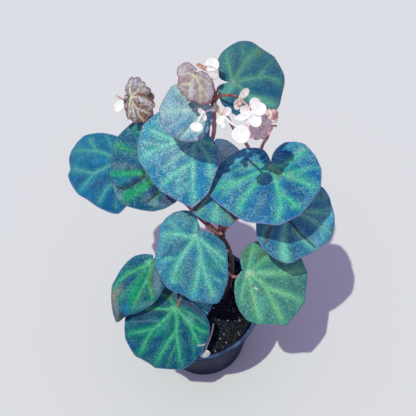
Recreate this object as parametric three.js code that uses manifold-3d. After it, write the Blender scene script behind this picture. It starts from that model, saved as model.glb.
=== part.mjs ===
// Potted begonia: a round nursery pot filled with soil, an old leaning stem with upright shoots and
// leaf stalks, round notched leaves, three young crinkled leaves and small white flowers.
// Millimetres and degrees, +Z up. The origin is the middle of the pot's underside.
import * as THREE from "three";
import { mergeVertices } from "three/addons/utils/BufferGeometryUtils.js";
import Module from "manifold-3d";

const GAP = 0.3;

const COLOURS = {
  pot: 0x1c2236,
  soil: 0x17130f,
  stems: 0x8c3b36,
  leafBlue: 0x2c7f8c,
  leafGreen: 0x58a877,
  young: 0xa88a94,
  flower: 0xf3e9e6,
};

const POT = {
  height: 90,
  baseRadius: 42,
  footBevel: 1.5,
  rimRadius: 60,
  rollRadius: 2,
  bandDrop: 12,
  bandStep: 1.4,
  wall: 1.6,
  floor: 2.4,
  sides: 40,
};
const DRAIN = { radius: 3.5, circle: 26, count: 5, sides: 12 };
const SOIL = { top: 80, relief: 0.6, waves: [3.1, 4.3, 3.7], rings: 6, clearance: 0.5 };
const STEM_HOLE = { x: 24, y: 4, depth: 16, radius: 3 };

// Grown blades: each stretch between two main veins swells by the pucker, and the margin waves.
const BLADE = {
  thick: 0.8,
  rings: [0.4, 0.75, 1],
  sectorSteps: 2,
  swells: 10,
  pucker: 1.3,
  puckerFall: 1.6,
  wave: 0.7,
  waveCount: 5,
  wavePhase: 70,
  ridge: 2,
};
const NOTCH = { depth: 0.7, width: 11, samples: [-1.7, -0.8, 0, 0.8, 1.7], clearance: 4 };
const YOUNG = { step: 12, tooth: 0.04, teeth: 15, ruffle: 1, ruffleCount: 6 };

// A leaf stands at the point where its stalk meets the blade. Heading turns the midrib about +Z from
// +X, slope lowers the tip and roll turns the blade about the midrib. Droop curves the margin down
// from the stalk on, counted from the blade's mean size, and fold drops both halves from the midrib.
// The outline lists angles from the midrib and lengths from the stalk; corner is the share of
// straight chords between them, and the notch lies at its own angle.
const LEAVES = {
  leaf_top_right: {
    at: [48, 54, 310], heading: 4, slope: 15, roll: 28, droop: 0.1, fold: 0, size: 27.4,
    corner: 0.5, notch: 180,
    outline: [
      [-155, 13], [-118, 18], [-81, 26], [-53, 36], [-22, 39], [-10, 39], [3, 41.5], [13, 43],
      [33, 42.6], [46, 39], [62, 37.7], [76, 33.5], [90, 28], [105, 23.5], [119, 19.5], [155, 11],
    ],
  },
  leaf_top_centre: {
    at: [28, 42, 302], heading: -176, slope: 19, roll: -26, droop: 0.12, fold: 0, size: 20.5,
    corner: 0.35, notch: 180,
    outline: [
      [-150, 5], [-105, 12], [-65, 28], [-52, 34.4], [-35, 36.7], [-23, 39.2], [-10, 38.2],
      [7, 35.7], [30, 30.6], [53, 25], [65, 21], [105, 8], [150, 4.5],
    ],
  },
  leaf_centre_left: {
    at: [17, 49, 262], heading: -123, slope: 29, roll: -11, droop: 0.12, fold: 0, size: 32.6,
    corner: 0.7, notch: 180,
    outline: [
      [-150, 21], [-118, 33], [-103, 37.8], [-95, 40.4], [-84, 45], [-62, 47.7], [-51, 49],
      [-40, 47], [-28, 47], [-14, 49], [-1, 49], [13, 51.8], [18, 52.8], [26, 47.4], [34, 43],
      [50, 31.5], [75, 25], [93, 17.5], [120, 11], [155, 15],
    ],
  },
  leaf_mid_left: {
    at: [-10, 57, 232], heading: 173, slope: 16, roll: -23, droop: 0.12, fold: 0.08, size: 43.6,
    corner: 0.5, notch: 180,
    outline: [
      [-150, 29], [-110, 37], [-68, 51], [-52, 53.4], [-39, 56], [-29, 58.4], [-20, 55.5],
      [-9, 54.5], [2, 55.6], [14, 54.2], [25, 54.8], [31, 53.5], [39, 50], [51, 46], [65, 43],
      [79, 39.5], [95, 36], [150, 27],
    ],
  },
  leaf_far_left: {
    at: [-51, 81, 212], heading: 170, slope: 15, roll: -20, droop: 0.12, fold: 0, size: 38,
    corner: 0.5, notch: 180,
    outline: [
      [-155, 19], [-105, 19], [-81, 23], [-58, 33.7], [-39, 50.3], [-30, 55.7], [-21, 58.7],
      [-14, 59.2], [-7, 56.2], [-1, 54.6], [3, 57.3], [17, 53.5], [28, 50.8], [41, 46.4],
      [57, 45.8], [78, 47.4], [85, 47.6], [94, 43], [120, 32], [155, 23],
    ],
  },
  leaf_right: {
    at: [73, 31, 240], heading: -94, slope: 5, roll: 0, droop: 0.1, fold: 0, size: 39.7,
    corner: 0.6, notch: 180,
    outline: [
      [-153, 20], [-134, 27.6], [-112, 35.4], [-97, 42.5], [-87, 46.4], [-69, 53], [-60, 51.5],
      [-49, 50], [-28, 50.3], [-11, 49], [2, 50], [23, 46], [34, 43.5], [51, 41.3], [58, 41.8],
      [84, 38.8], [106, 36.6], [125, 35.2], [138, 30.7], [151, 25], [165, 16],
    ],
  },
  leaf_right_shaded: {
    at: [81, 13, 200], heading: -45, slope: 25, roll: 0, droop: 0.12, fold: 0, size: 36.6,
    corner: 0.5, notch: 180,
    outline: [
      [-155, 21], [-106, 28], [-93, 32.7], [-77, 36], [-60, 38.8], [-45, 41.4], [-37, 41],
      [-29, 39.3], [-13, 39.8], [-2, 41], [10, 43.7], [19, 47.2], [26, 48.7], [37, 49.4],
      [49, 49.8], [58, 49], [66, 50.3], [75, 50], [105, 40], [150, 26],
    ],
  },
  leaf_lower_right: {
    at: [45, -18, 166], heading: -13, slope: 21, roll: 19, droop: 0.1, fold: 0, size: 37.8,
    corner: 0.9, notch: 180, color: COLOURS.leafGreen,
    outline: [
      [-155, 4.8], [-127, 12.3], [-109, 19.3], [-97, 26.1], [-86, 33.3], [-74, 40.5], [-62, 45.1],
      [-48, 49.2], [-37, 57.5], [-28, 57.4], [-11, 60.3], [0, 58.4], [14, 58.9], [27, 54.8],
      [41, 52.1], [66, 38.6], [90, 24.6], [102, 20.3], [117, 15.2], [133, 9.8], [155, 4.8],
    ],
  },
  leaf_centre_under: {
    at: [28.4, 27, 228], heading: -93, slope: 24, roll: -1, droop: 0.1, fold: 0, size: 21.7,
    corner: 0.6, notch: 180,
    outline: [
      [-150, 6.6], [-110, 8.5], [-75, 18.8], [-45, 28.2], [-20, 29.1], [0, 30.5], [12, 33.3],
      [19, 33.2], [26, 30.8], [50, 22.6], [80, 16], [115, 8.5], [150, 6.6],
    ],
  },
  leaf_centre_back: {
    at: [38, 45, 226], heading: 78, slope: -29, roll: 9, droop: 0.08, fold: 0, size: 15.6,
    corner: 0.5, notch: 180,
    outline: [
      [-150, 9], [-110, 13], [-75, 16], [-40, 19], [0, 24], [20, 26], [45, 20], [75, 12], [110, 9],
      [150, 8],
    ],
  },
  leaf_lower_centre: {
    at: [7, 9, 188], heading: -146, slope: 25, roll: -28, droop: 0.1, fold: 0, size: 36,
    corner: 0.7, notch: 180,
    outline: [
      [-157, 9.5], [-141, 15.4], [-127, 20.6], [-110, 23.4], [-93, 26.4], [-77, 28.7], [-62, 30.6],
      [-47, 31], [-33, 33], [-22, 38.2], [-12, 43], [-2, 45], [12, 51], [20, 52], [30, 52.4],
      [38, 56.5], [48, 58.5], [56, 61], [60, 61.2], [67, 55], [78, 46], [90, 36], [103, 30],
      [114, 25.8], [128, 18.7], [144, 12], [165, 8],
    ],
  },
  leaf_lower_left: {
    at: [-33, 2, 166], heading: -135, slope: 33, roll: -21, droop: 0.08, fold: 0.2, size: 27.3,
    corner: 0.5, notch: 180,
    outline: [
      [-134, 6.5], [-97, 10.5], [-76, 16], [-58, 22.4], [-45, 29.4], [-35, 36.8], [-29, 43.7],
      [-23, 48], [-15, 54.5], [-9, 60], [-4, 64.5], [-1, 66.5], [2, 58], [5, 53.5], [10, 50.7],
      [16, 46], [22, 42], [28, 38.5], [35, 34.2], [53, 24.7], [75, 19], [110, 12], [150, 8],
    ],
  },
  leaf_front: {
    at: [-19, -20, 125], heading: -124, slope: 23, roll: -19, droop: 0.12, fold: 0, size: 39.4,
    corner: 0.8, notch: 180,
    outline: [
      [-155, 17], [-106, 27], [-58, 44], [-49, 46.8], [-40, 50.3], [-31, 54], [-20, 56.4],
      [-13, 58.2], [-8, 57.2], [1, 57.6], [6.5, 59.4], [16, 58.2], [25, 58.2], [31, 58.5],
      [38, 55.8], [46, 52.3], [55, 48.3], [64, 44.2], [74, 40.5], [83, 36], [92, 30], [110, 18],
      [155, 12],
    ],
  },
  leaf_front_small: {
    at: [-7, -6, 106], heading: -31, slope: 22, roll: 22, droop: 0.1, fold: 0, size: 18.2,
    corner: 0.5, notch: 180,
    outline: [
      [-150, 12], [-110, 15], [-75, 20], [-40, 25], [0, 23], [40, 23], [75, 19], [110, 15],
      [150, 12],
    ],
  },
};
const YOUNG_LEAVES = {
  young_leaf_far_left: {
    at: [-32, 102, 262], heading: -35, slope: 28, roll: 25, droop: 0.1, fold: 0.1, size: 14.9,
    corner: 0.3, notch: 180,
    outline: [
      [-153, 5], [-124, 5.5], [-98, 7.5], [-75, 12], [-61, 17], [-40, 21], [-20, 22.5], [0, 22],
      [23, 20], [50, 18.5], [75, 16.5], [100, 18], [125, 16.5], [150, 10],
    ],
  },
  young_leaf_top: {
    at: [21, 45, 330], heading: -62, slope: 31, roll: 13, droop: 0.08, fold: 0.4, size: 12.9,
    corner: 0.3, notch: 102,
    outline: [
      [-153, 11.2], [-144, 11.6], [-126, 11], [-109, 10.2], [-90, 12.6], [-70, 14], [-55, 15],
      [-45, 17], [-24, 17.4], [-17, 20.4], [-2, 22.2], [12, 20], [25, 17], [42, 14], [61, 10],
      [82, 7.2], [96, 6], [108, 6], [122, 4.6], [144, 5.6], [174, 8.8],
    ],
  },
  young_leaf_right: {
    at: [69, 24, 298], heading: -138, slope: 27, roll: -26, droop: 0.1, fold: 0.3, size: 9.9,
    corner: 0.3, notch: 95,
    outline: [
      [-175, 9.2], [-150, 8.8], [-110, 9.5], [-75, 12], [-40, 16], [-14, 17], [5, 14.2], [17, 12.6],
      [34, 10.3], [48, 7.8], [62, 6], [79, 5], [95, 5], [108, 4.6], [122, 5.7], [144, 6.9],
      [165, 8.7],
    ],
  },
};

// Stem, shoots and stalks: the radius and the points that each one passes.
const TUBE = { step: 12, sides: 6, stemSides: 8 };
const CROWN = [28, 24, 160];
const TOP_NODE = [33, 48, 298];
const OLD_STEM = {
  radius: 2,
  points: [[24, 4, 64.5], [23.8, 3.8, 80], [32, 10, 96], [36, 18, 118], [34, 21, 140], CROWN],
};
const SHOOTS = [
  {
    radius: 1.7,
    points: [CROWN, [30, 50, 178], [27, 61, 204], [22, 62, 230], [29, 55, 250], [32, 51, 268], TOP_NODE],
  },
  {
    radius: 1.6,
    points: [
      CROWN, [48, 43, 176], [60, 55, 200], [60, 63, 224], [50, 57, 252], [42, 46, 284], [39, 36, 299],
    ],
  },
  {
    radius: 1.4,
    points: [CROWN, [54, 46, 178], [67, 58, 202], [70, 63, 224], [73, 52, 250], [73, 39, 275]],
  },
];
const TWIGS = [
  { radius: 1, points: [TOP_NODE, [35, 44, 306], [40, 39, 313], [45, 35, 316], [49, 33, 316.5]] },
  { radius: 0.9, points: [TOP_NODE, [34, 54, 308], [32, 56, 318], [30, 55, 326]] },
  { radius: 0.9, points: [TOP_NODE, [35.5, 46.5, 308], [36.5, 44, 316]] },
  { radius: 0.9, points: [TOP_NODE, [34, 43, 301], [33, 37, 304]] },
  { radius: 0.8, points: [[73, 39, 275], [74, 33, 283], [75, 27, 289]] },
];
const KNOTS = [
  { at: CROWN, radius: 4.2 },
  { at: TOP_NODE, radius: 2.6 },
];
// Each leaf stalk starts on the stem or a shoot and passes these points on its way to its blade. It
// ends in a straight rise along the blade's normal.
const STALK = { radius: 1.2, rise: 8 };
const STALKS = {
  leaf_top_right: [TOP_NODE, [37, 52, 300]],
  leaf_top_centre: [[32, 51, 268], [31, 51, 280]],
  leaf_centre_left: [[22, 62, 230], [20, 58, 244]],
  leaf_mid_left: [CROWN, [12, 38, 168], [-4, 46, 204]],
  leaf_far_left: [CROWN, [10, 45, 165], [-15, 68, 180], [-40, 79, 196]],
  leaf_right: [CROWN, [48, 38, 172], [66, 33, 212]],
  leaf_right_shaded: [CROWN, [44, 34, 168], [65, 27, 182]],
  leaf_centre_under: [CROWN, [28, 28, 176], [26.5, 28, 204]],
  leaf_centre_back: [[27, 61, 204], [32, 57, 212]],
  leaf_lower_centre: [CROWN, [21, 22, 164], [12, 16, 174]],
  leaf_lower_left: [CROWN, [5, 24, 156], [-15, 20, 156], [-27, 12, 158]],
  leaf_lower_right: [[34, 21, 140], [29, 10, 142], [30, -6, 147], [37, -16, 154]],
  leaf_front: [[36, 18, 118], [10, 17, 112], [-7, 7, 114], [-14, -8, 115]],
  leaf_front_small: [[32, 10, 96], [14, 6, 90], [1, 1, 93]],
  young_leaf_far_left: [CROWN, [9, 49, 170], [-9, 80, 196], [-24, 109, 226], [-32, 111, 246]],
  young_leaf_top: [TOP_NODE, [34, 51, 308], [29, 53, 316]],
  young_leaf_right: [[73, 39, 275], [72, 32, 284]],
};
// Dry papery bracts: root, tip and width.
const BRACTS = [
  { root: CROWN, tip: [14, 18, 184], width: 5 },
  { root: CROWN, tip: [20, 11, 189], width: 5 },
  { root: CROWN, tip: [27, 8, 187], width: 4.5 },
  { root: CROWN, tip: [36, 30, 168], width: 6 },
  { root: CROWN, tip: [17, 31, 168], width: 5 },
  { root: [31.2, 55.4, 322], tip: [23.4, 52.8, 330.2], width: 7.6 },
];

// Flowers face up and towards the front. A petal is its root, its tip and its width, and a bead is
// the middle and the size of a bud, an ovary or the eye of a flower.
const FACING = { heading: -90, slope: 35 };
const PETAL = { thick: 0.8, cup: 0.12, sides: 10, rings: [1] };
const SPRAYS = {
  flowers_right: {
    pedicels: [
      {
        radius: 0.7,
        points: [[49.8, 32.2, 316.5], [50.4, 30.4, 316.4], [53, 26, 316.4], [55.7, 21.5, 315.4]],
      },
    ],
    petals: [
      { root: [50.3, 30.4, 316.8], tip: [56.7, 35, 320.1], width: 5.2 },
      { root: [50.3, 30.6, 317], tip: [46.7, 24.3, 312.6], width: 5.4 },
      { root: [56.1, 20.9, 316.4], tip: [62.2, 25.2, 319.2], width: 7.4 },
      { root: [55.7, 20.4, 316.2], tip: [48.8, 19.3, 315.3], width: 6.6 },
      { root: [56, 16.8, 314.2], tip: [44.4, 15.7, 313.1], width: 5 },
      { root: [56.4, 20.2, 316.2], tip: [66.4, 18.4, 315.4], width: 9.2 },
      { root: [55.6, 19.2, 315.2], tip: [60, 10, 309], width: 9 },
      { root: [54, 19.5, 315], tip: [54.4, 11.6, 309.6], width: 5.4 },
    ],
    beads: [
      { at: [50.3, 30.8, 317], size: [2.6, 2.6, 2.2] },
      { at: [55.8, 20.4, 316.2], size: [2.8, 2.8, 2.4] },
    ],
  },
  flowers_left: {
    pedicels: [
      { radius: 0.7, points: [[32.2, 35.4, 304.6], [27, 33, 306], [22, 28, 305.4], [19.8, 24, 304]] },
      { radius: 0.7, points: [[32.2, 35.4, 304.6], [35, 33.4, 303.4], [38.2, 31, 301.8]] },
      {
        radius: 0.7,
        points: [[38.2, 31, 301.8], [41.6, 25, 301.8], [45.4, 17.6, 304.2], [47.4, 11.4, 307.6]],
      },
    ],
    petals: [
      { root: [25.6, 29.8, 306.4], tip: [21.5, 33.4, 308.7], width: 3.8 },
      { root: [32.6, 38.8, 307.2], tip: [37.3, 31.3, 302.4], width: 3.7 },
      { root: [38.1, 31.1, 302], tip: [43.9, 34.4, 304.6], width: 6.1 },
      { root: [39.3, 29.9, 301.2], tip: [33.2, 26.9, 299.2], width: 6.1 },
      { root: [38.1, 31, 302], tip: [37.4, 24, 297.4], width: 2.6 },
    ],
    beads: [
      { at: [47.7, 7.8, 306], size: [12.7, 12.7, 3] },
      { at: [18.8, 22.2, 303], size: [6.6, 9.1, 3] },
      { at: [37.6, 24.5, 297.5], size: [3.8, 4.6, 2.8] },
      { at: [32, 34.8, 304.6], size: [2.6, 2.6, 2.4] },
    ],
  },
  flowers_top: {
    pedicels: [],
    petals: [
      { root: [29.2, 53, 327.8], tip: [39.4, 54.4, 328.8], width: 9.4 },
      { root: [31.2, 53.6, 328.2], tip: [36.4, 45.7, 322.6], width: 7.2 },
    ],
    beads: [{ at: [29.8, 53.2, 328], size: [2.6, 2.6, 2.2] }],
  },
  flowers_far_left: {
    pedicels: [
      { radius: 0.8, points: [[-34, 107, 252], [-39, 109, 254], [-45, 114, 254]] },
      { radius: 0.6, points: [[-39, 109, 254], [-40, 104.5, 255.8], [-39.7, 101, 257.9]] },
    ],
    petals: [{ root: [-38.8, 102.6, 259.3], tip: [-45.7, 95.2, 254.2], width: 7.6 }],
    beads: [],
  },
};
const FALLEN = {
  points: [[12, -23.5, 82.3], [9.3, -34, 85], [4.5, -46, 89], [2, -52.5, 90.7]],
  radius: 0.8,
  petal: { at: [1.4, -55.3, 91.1], length: 10, width: 8 },
};

const wasm = await Module();
wasm.setup();

const radians = THREE.MathUtils.degToRad;
const vector = (p) => new THREE.Vector3(...p);

// A geometry cut down to merged positions, as a solid that can be joined and cut.
function solid(geometry) {
  const bare = geometry.clone();
  bare.deleteAttribute("normal");
  bare.deleteAttribute("uv");
  const merged = mergeVertices(bare, 1e-4);
  return new wasm.Manifold(
    new wasm.Mesh({
      numProp: 3,
      vertProperties: new Float32Array(merged.attributes.position.array),
      triVerts: new Uint32Array(merged.index.array),
    }),
  );
}

function geometryOf(body) {
  const mesh = body.getMesh();
  const geometry = new THREE.BufferGeometry();
  geometry.setAttribute("position", new THREE.BufferAttribute(mesh.vertProperties, 3));
  geometry.setIndex(new THREE.BufferAttribute(mesh.triVerts, 1));
  geometry.computeVertexNormals();
  return geometry;
}

function fuse(geometries) {
  return geometryOf(geometries.map(solid).reduce((whole, next) => whole.add(next)));
}

function part(name, geometry, color, roughness) {
  const mesh = new THREE.Mesh(geometry, new THREE.MeshStandardMaterial({ color, roughness, metalness: 0 }));
  mesh.name = name;
  return mesh;
}

function turn({ heading, slope, roll = 0 }) {
  return new THREE.Euler(radians(roll), radians(slope), radians(heading), "ZYX");
}

// A thin closed blade: reach(angle) is the margin's distance from the origin, and lift(angle, r,
// share) the height of the upper face at the given share of that distance. Both faces are split alike.
function blade(angles, rings, thick, reach, lift) {
  const positions = [];
  const count = angles.length;
  for (const drop of [0, thick]) {
    positions.push(0, 0, lift(0, 0, 0) - drop);
    for (const share of rings) {
      for (const angle of angles) {
        const r = reach(angle) * share;
        const x = r * Math.cos(radians(angle));
        const y = r * Math.sin(radians(angle));
        positions.push(x, y, lift(angle, r, share) - drop);
      }
    }
  }
  const faces = [];
  const under = 1 + rings.length * count;
  const both = (a, b, c) => faces.push(a, b, c, a + under, c + under, b + under);
  const rim = 1 + (rings.length - 1) * count;
  for (let i = 0; i < count; i++) {
    const j = (i + 1) % count;
    both(0, 1 + i, 1 + j);
    for (let k = 1; k < rings.length; k++) {
      const inner = 1 + (k - 1) * count;
      const outer = 1 + k * count;
      both(inner + i, outer + i, outer + j);
      both(inner + i, outer + j, inner + j);
    }
    faces.push(rim + i, rim + under + i, rim + under + j);
    faces.push(rim + i, rim + under + j, rim + j);
  }
  const geometry = new THREE.BufferGeometry();
  geometry.setAttribute("position", new THREE.Float32BufferAttribute(positions, 3));
  geometry.setIndex(faces);
  geometry.computeVertexNormals();
  return geometry;
}

// Distance from the stalk to the margin: between two points of the outline a share of the straight
// chord and for the rest a smooth curve, cut in by the notch.
function margin({ outline, corner, notch }, angle) {
  const count = outline.length;
  const last = outline.findLastIndex(([a]) => a <= angle);
  const i = (last + count) % count;
  const point = (k) => {
    const turns = Math.floor(k / count);
    const [at, length] = outline[k - turns * count];
    return [at + 360 * turns, length];
  };
  const [start, from] = point(i);
  const [end, to] = point(i + 1);
  const span = end - start;
  const t = ((last < 0 ? angle + 360 : angle) - start) / span;
  const trend = (k) => (point(k + 1)[1] - point(k - 1)[1]) / (point(k + 1)[0] - point(k - 1)[0]);
  const curve =
    (2 * t ** 3 - 3 * t ** 2 + 1) * from +
    (t ** 3 - 2 * t ** 2 + t) * span * trend(i) +
    (3 * t ** 2 - 2 * t ** 3) * to +
    (t ** 3 - t ** 2) * span * trend(i + 1);
  const wide = radians(span);
  const along = radians(span * t);
  const chord = (from * to * Math.sin(wide)) / (from * Math.sin(along) + to * Math.sin(wide - along));
  const off = Math.abs(((angle - notch + 540) % 360) - 180);
  return (curve + (chord - curve) * corner) * (1 - NOTCH.depth * Math.exp(-((off / NOTCH.width) ** 2)));
}

// Angles of the margin's points: even steps along the outline, and finer ones round the notch.
function marginAngles({ outline }) {
  const first = outline[0][0];
  const last = outline.at(-1)[0];
  const angles = [last];
  for (let i = 0; i < outline.length - 1; i++) {
    const step = (outline[i + 1][0] - outline[i][0]) / BLADE.sectorSteps;
    for (let k = 0; k < BLADE.sectorSteps; k++) angles.push(outline[i][0] + k * step);
  }
  for (const sample of NOTCH.samples) {
    const angle = sample > 0 ? sample * NOTCH.width - 180 : 180 + sample * NOTCH.width;
    if (angle > last + NOTCH.clearance || angle < first - NOTCH.clearance) angles.push(angle);
  }
  return angles.sort((a, b) => a - b);
}

function sag({ droop, fold, size }, angle, r) {
  const y = r * Math.sin(radians(angle));
  return (droop * r ** 2) / size + fold * (Math.hypot(y, BLADE.ridge) - BLADE.ridge);
}

function placed(mesh, leaf) {
  mesh.position.set(...leaf.at);
  mesh.rotation.copy(turn(leaf));
  return mesh;
}

function makeLeaf(name, leaf, number) {
  const lift = (angle, r, share) => {
    const bulge = Math.abs(Math.sin(radians((BLADE.swells * angle) / 2)));
    const wave = share ** 3 * Math.cos(radians(BLADE.waveCount * angle + BLADE.wavePhase * number));
    const swell = BLADE.pucker * bulge * share * (BLADE.puckerFall - share);
    return swell + BLADE.wave * wave - sag(leaf, angle, r);
  };
  const reach = (angle) => margin(leaf, angle);
  const geometry = blade(marginAngles(leaf), BLADE.rings, BLADE.thick, reach, lift);
  return placed(part(name, geometry, leaf.color ?? COLOURS.leafBlue, 0.45), leaf);
}

function makeYoungLeaf(name, leaf) {
  const angles = Array.from({ length: 360 / YOUNG.step }, (_, k) => k * YOUNG.step - 180);
  const scallop = (angle) => 1 + YOUNG.tooth * Math.cos(radians(YOUNG.teeth * angle));
  const reach = (angle) => margin(leaf, angle) * scallop(angle);
  const lift = (angle, r, share) =>
    YOUNG.ruffle * share ** 2 * Math.cos(radians(YOUNG.ruffleCount * angle)) - sag(leaf, angle, r);
  const geometry = blade(angles, BLADE.rings, BLADE.thick, reach, lift);
  return placed(part(name, geometry, COLOURS.young, 0.5), leaf);
}

// An oval petal or bract in its own frame, centred on the origin with its length along x.
function oval(length, width) {
  const angles = Array.from({ length: PETAL.sides }, (_, k) => (360 * k) / PETAL.sides - 180);
  const reach = (angle) =>
    0.5 / Math.hypot(Math.cos(radians(angle)) / length, Math.sin(radians(angle)) / width);
  const lift = (angle, r) => (2 * PETAL.cup * r ** 2) / length;
  return blade(angles, PETAL.rings, PETAL.thick, reach, lift);
}

// A bract or petal from its root to its tip, its upper face as near to the facing as it can be.
function bract({ root, tip, width }, facing = new THREE.Vector3(0, 0, 1)) {
  const along = vector(tip).sub(vector(root));
  const side = facing.clone().cross(along).normalize();
  const up = along.clone().cross(side).normalize();
  const frame = new THREE.Matrix4().makeBasis(along.clone().normalize(), side, up);
  frame.setPosition(vector(root).lerp(vector(tip), 0.5));
  return oval(along.length(), width).applyMatrix4(frame);
}

function tube({ points, radius }, sides = TUBE.sides) {
  const curve = new THREE.CatmullRomCurve3(points.map(vector));
  const corner = (_, k) => {
    const angle = (2 * Math.PI * k) / sides;
    return new THREE.Vector2(radius * Math.cos(angle), radius * Math.sin(angle));
  };
  const section = new THREE.Shape(Array.from({ length: sides }, corner));
  const steps = Math.max(2, Math.round(curve.getLength() / TUBE.step));
  return new THREE.ExtrudeGeometry(section, { steps, extrudePath: curve });
}

function ball([x, y, z], sizes, columns = 8, rows = 5) {
  const geometry = new THREE.SphereGeometry(0.5, columns, rows);
  geometry.scale(...sizes);
  geometry.translate(x, y, z);
  return geometry;
}

function stalkTo(leaf, route) {
  const normal = new THREE.Vector3(0, 0, 1).applyEuler(turn(leaf));
  const below = (distance) => vector(leaf.at).addScaledVector(normal, -distance).toArray();
  return { radius: STALK.radius, points: [...route, below(STALK.rise), below(BLADE.thick + GAP)] };
}

// Radius of the pot's outer wall at a height, below the rim's band.
function potRadius(z) {
  const top = POT.rimRadius - POT.rollRadius - POT.bandStep;
  return POT.baseRadius + ((top - POT.baseRadius) * z) / POT.height;
}

function potProfile() {
  const { height, baseRadius, footBevel, rimRadius, rollRadius, bandDrop, bandStep, wall, floor } = POT;
  const bandFoot = height - bandDrop;
  const roll = [-90, -45, 0, 45, 90, 135, 180].map((angle) => [
    rimRadius - rollRadius + rollRadius * Math.cos(radians(angle)),
    height - rollRadius + rollRadius * Math.sin(radians(angle)),
  ]);
  return [
    [0, 0],
    [baseRadius - footBevel, 0],
    [baseRadius, footBevel],
    [potRadius(bandFoot), bandFoot],
    [potRadius(bandFoot) + bandStep, bandFoot + bandStep],
    ...roll,
    [potRadius(bandFoot) - wall, bandFoot],
    [potRadius(floor) - wall, floor],
    [0, floor],
  ];
}

function turned(profile, sides) {
  const geometry = new THREE.LatheGeometry(profile.map(([r, z]) => new THREE.Vector2(r, z)), sides);
  return geometry.rotateX(Math.PI / 2);
}

function uprightDrill(x, y, z, radius, length) {
  const drill = new THREE.CylinderGeometry(radius, radius, length, DRAIN.sides);
  return solid(drill.rotateX(Math.PI / 2).translate(x, y, z));
}

function makePot() {
  let body = solid(turned(potProfile(), POT.sides));
  for (let k = 0; k < DRAIN.count; k++) {
    const angle = (2 * Math.PI * (k + 0.5)) / DRAIN.count;
    const x = DRAIN.circle * Math.cos(angle);
    const y = DRAIN.circle * Math.sin(angle);
    body = body.subtract(uprightDrill(x, y, POT.floor / 2, DRAIN.radius, 2 * POT.floor));
  }
  return part("pot", geometryOf(body), COLOURS.pot, 0.4);
}

// Soil: a plug that fills the pot, with a lumpy top and a plain hole for the old stem.
function makeSoil() {
  const inner = (z) => potRadius(z) - POT.wall - SOIL.clearance;
  const foot = POT.floor + GAP;
  const shoulder = POT.height - POT.bandDrop;
  const profile = [[0, foot], [inner(foot), foot], [inner(shoulder), shoulder]];
  for (let k = 0; k <= SOIL.rings; k++) profile.push([inner(shoulder) * (1 - k / SOIL.rings), SOIL.top]);
  const geometry = turned(profile, POT.sides);
  const position = geometry.attributes.position;
  const [a, b, c] = SOIL.waves;
  for (let i = 0; i < position.count; i++) {
    if (position.getZ(i) < shoulder + GAP) continue;
    const x = position.getX(i);
    const y = position.getY(i);
    position.setZ(i, SOIL.top + SOIL.relief * Math.sin(x / a + Math.cos(y / b)) * Math.cos(y / c));
  }
  const hole = uprightDrill(STEM_HOLE.x, STEM_HOLE.y, SOIL.top, STEM_HOLE.radius, 2 * STEM_HOLE.depth);
  return part("soil", geometryOf(solid(geometry).subtract(hole)), COLOURS.soil, 0.95);
}

function makeStems() {
  const leaves = { ...LEAVES, ...YOUNG_LEAVES };
  const geometry = fuse([
    tube(OLD_STEM, TUBE.stemSides),
    ...SHOOTS.map((shoot) => tube(shoot)),
    ...TWIGS.map((twig) => tube(twig)),
    ...KNOTS.map(({ at, radius }) => ball(at, [2 * radius, 2 * radius, 2 * radius])),
    ...BRACTS.map((scale) => bract(scale)),
    ...Object.entries(STALKS).map(([name, route]) => tube(stalkTo(leaves[name], route))),
  ]);
  return part("stems", geometry, COLOURS.stems, 0.55);
}

function bead({ at, size }) {
  const frame = new THREE.Matrix4().makeRotationFromEuler(turn(FACING));
  return ball([0, 0, 0], size, 10, 6).applyMatrix4(frame).translate(...at);
}

function makeSpray(name, { pedicels, petals, beads }) {
  const facing = new THREE.Vector3(0, 0, 1).applyEuler(turn(FACING));
  const geometry = fuse([
    ...pedicels.map((line) => tube(line)),
    ...petals.map((petal) => bract(petal, facing)),
    ...beads.map(bead),
  ]);
  return part(name, geometry, COLOURS.flower, 0.5);
}

function makeFallenFlower() {
  const { at, length, width } = FALLEN.petal;
  const geometry = fuse([tube(FALLEN), oval(length, width).translate(...at)]);
  return part("fallen_flower", geometry, COLOURS.flower, 0.5);
}

const group = new THREE.Group();
group.add(makePot(), makeSoil(), makeStems(), makeFallenFlower());
Object.entries(LEAVES).forEach(([name, leaf], number) => group.add(makeLeaf(name, leaf, number)));
Object.entries(YOUNG_LEAVES).forEach(([name, leaf]) => group.add(makeYoungLeaf(name, leaf)));
Object.entries(SPRAYS).forEach(([name, spray]) => group.add(makeSpray(name, spray)));

export default group;
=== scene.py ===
"""Looks of the potted begonia: leaves, young leaves, stems, flowers, soil and pot.

Sizes are in millimetres in each class and turned into metres when a mesh is made. A leaf's own frame
has x along its midrib, y to the left and z out of its upper face, with its stalk at the origin.
"""

import logging
import math
import random
from dataclasses import dataclass, field
from enum import Enum

import bmesh
import bpy
import numpy as np
from mathutils import Euler, Matrix, Vector, noise


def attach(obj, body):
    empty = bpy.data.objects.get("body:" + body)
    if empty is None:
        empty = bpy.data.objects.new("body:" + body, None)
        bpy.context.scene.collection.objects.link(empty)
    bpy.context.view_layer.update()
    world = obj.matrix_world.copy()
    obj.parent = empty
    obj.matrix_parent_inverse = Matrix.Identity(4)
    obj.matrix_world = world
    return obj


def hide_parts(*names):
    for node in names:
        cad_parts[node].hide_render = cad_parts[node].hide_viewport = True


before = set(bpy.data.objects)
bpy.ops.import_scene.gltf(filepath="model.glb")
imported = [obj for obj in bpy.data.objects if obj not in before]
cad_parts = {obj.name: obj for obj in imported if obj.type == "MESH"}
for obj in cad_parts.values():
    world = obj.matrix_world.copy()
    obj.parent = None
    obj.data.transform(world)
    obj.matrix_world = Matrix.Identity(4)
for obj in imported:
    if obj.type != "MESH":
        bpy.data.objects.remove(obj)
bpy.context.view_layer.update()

log = logging.getLogger("begonia")

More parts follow.
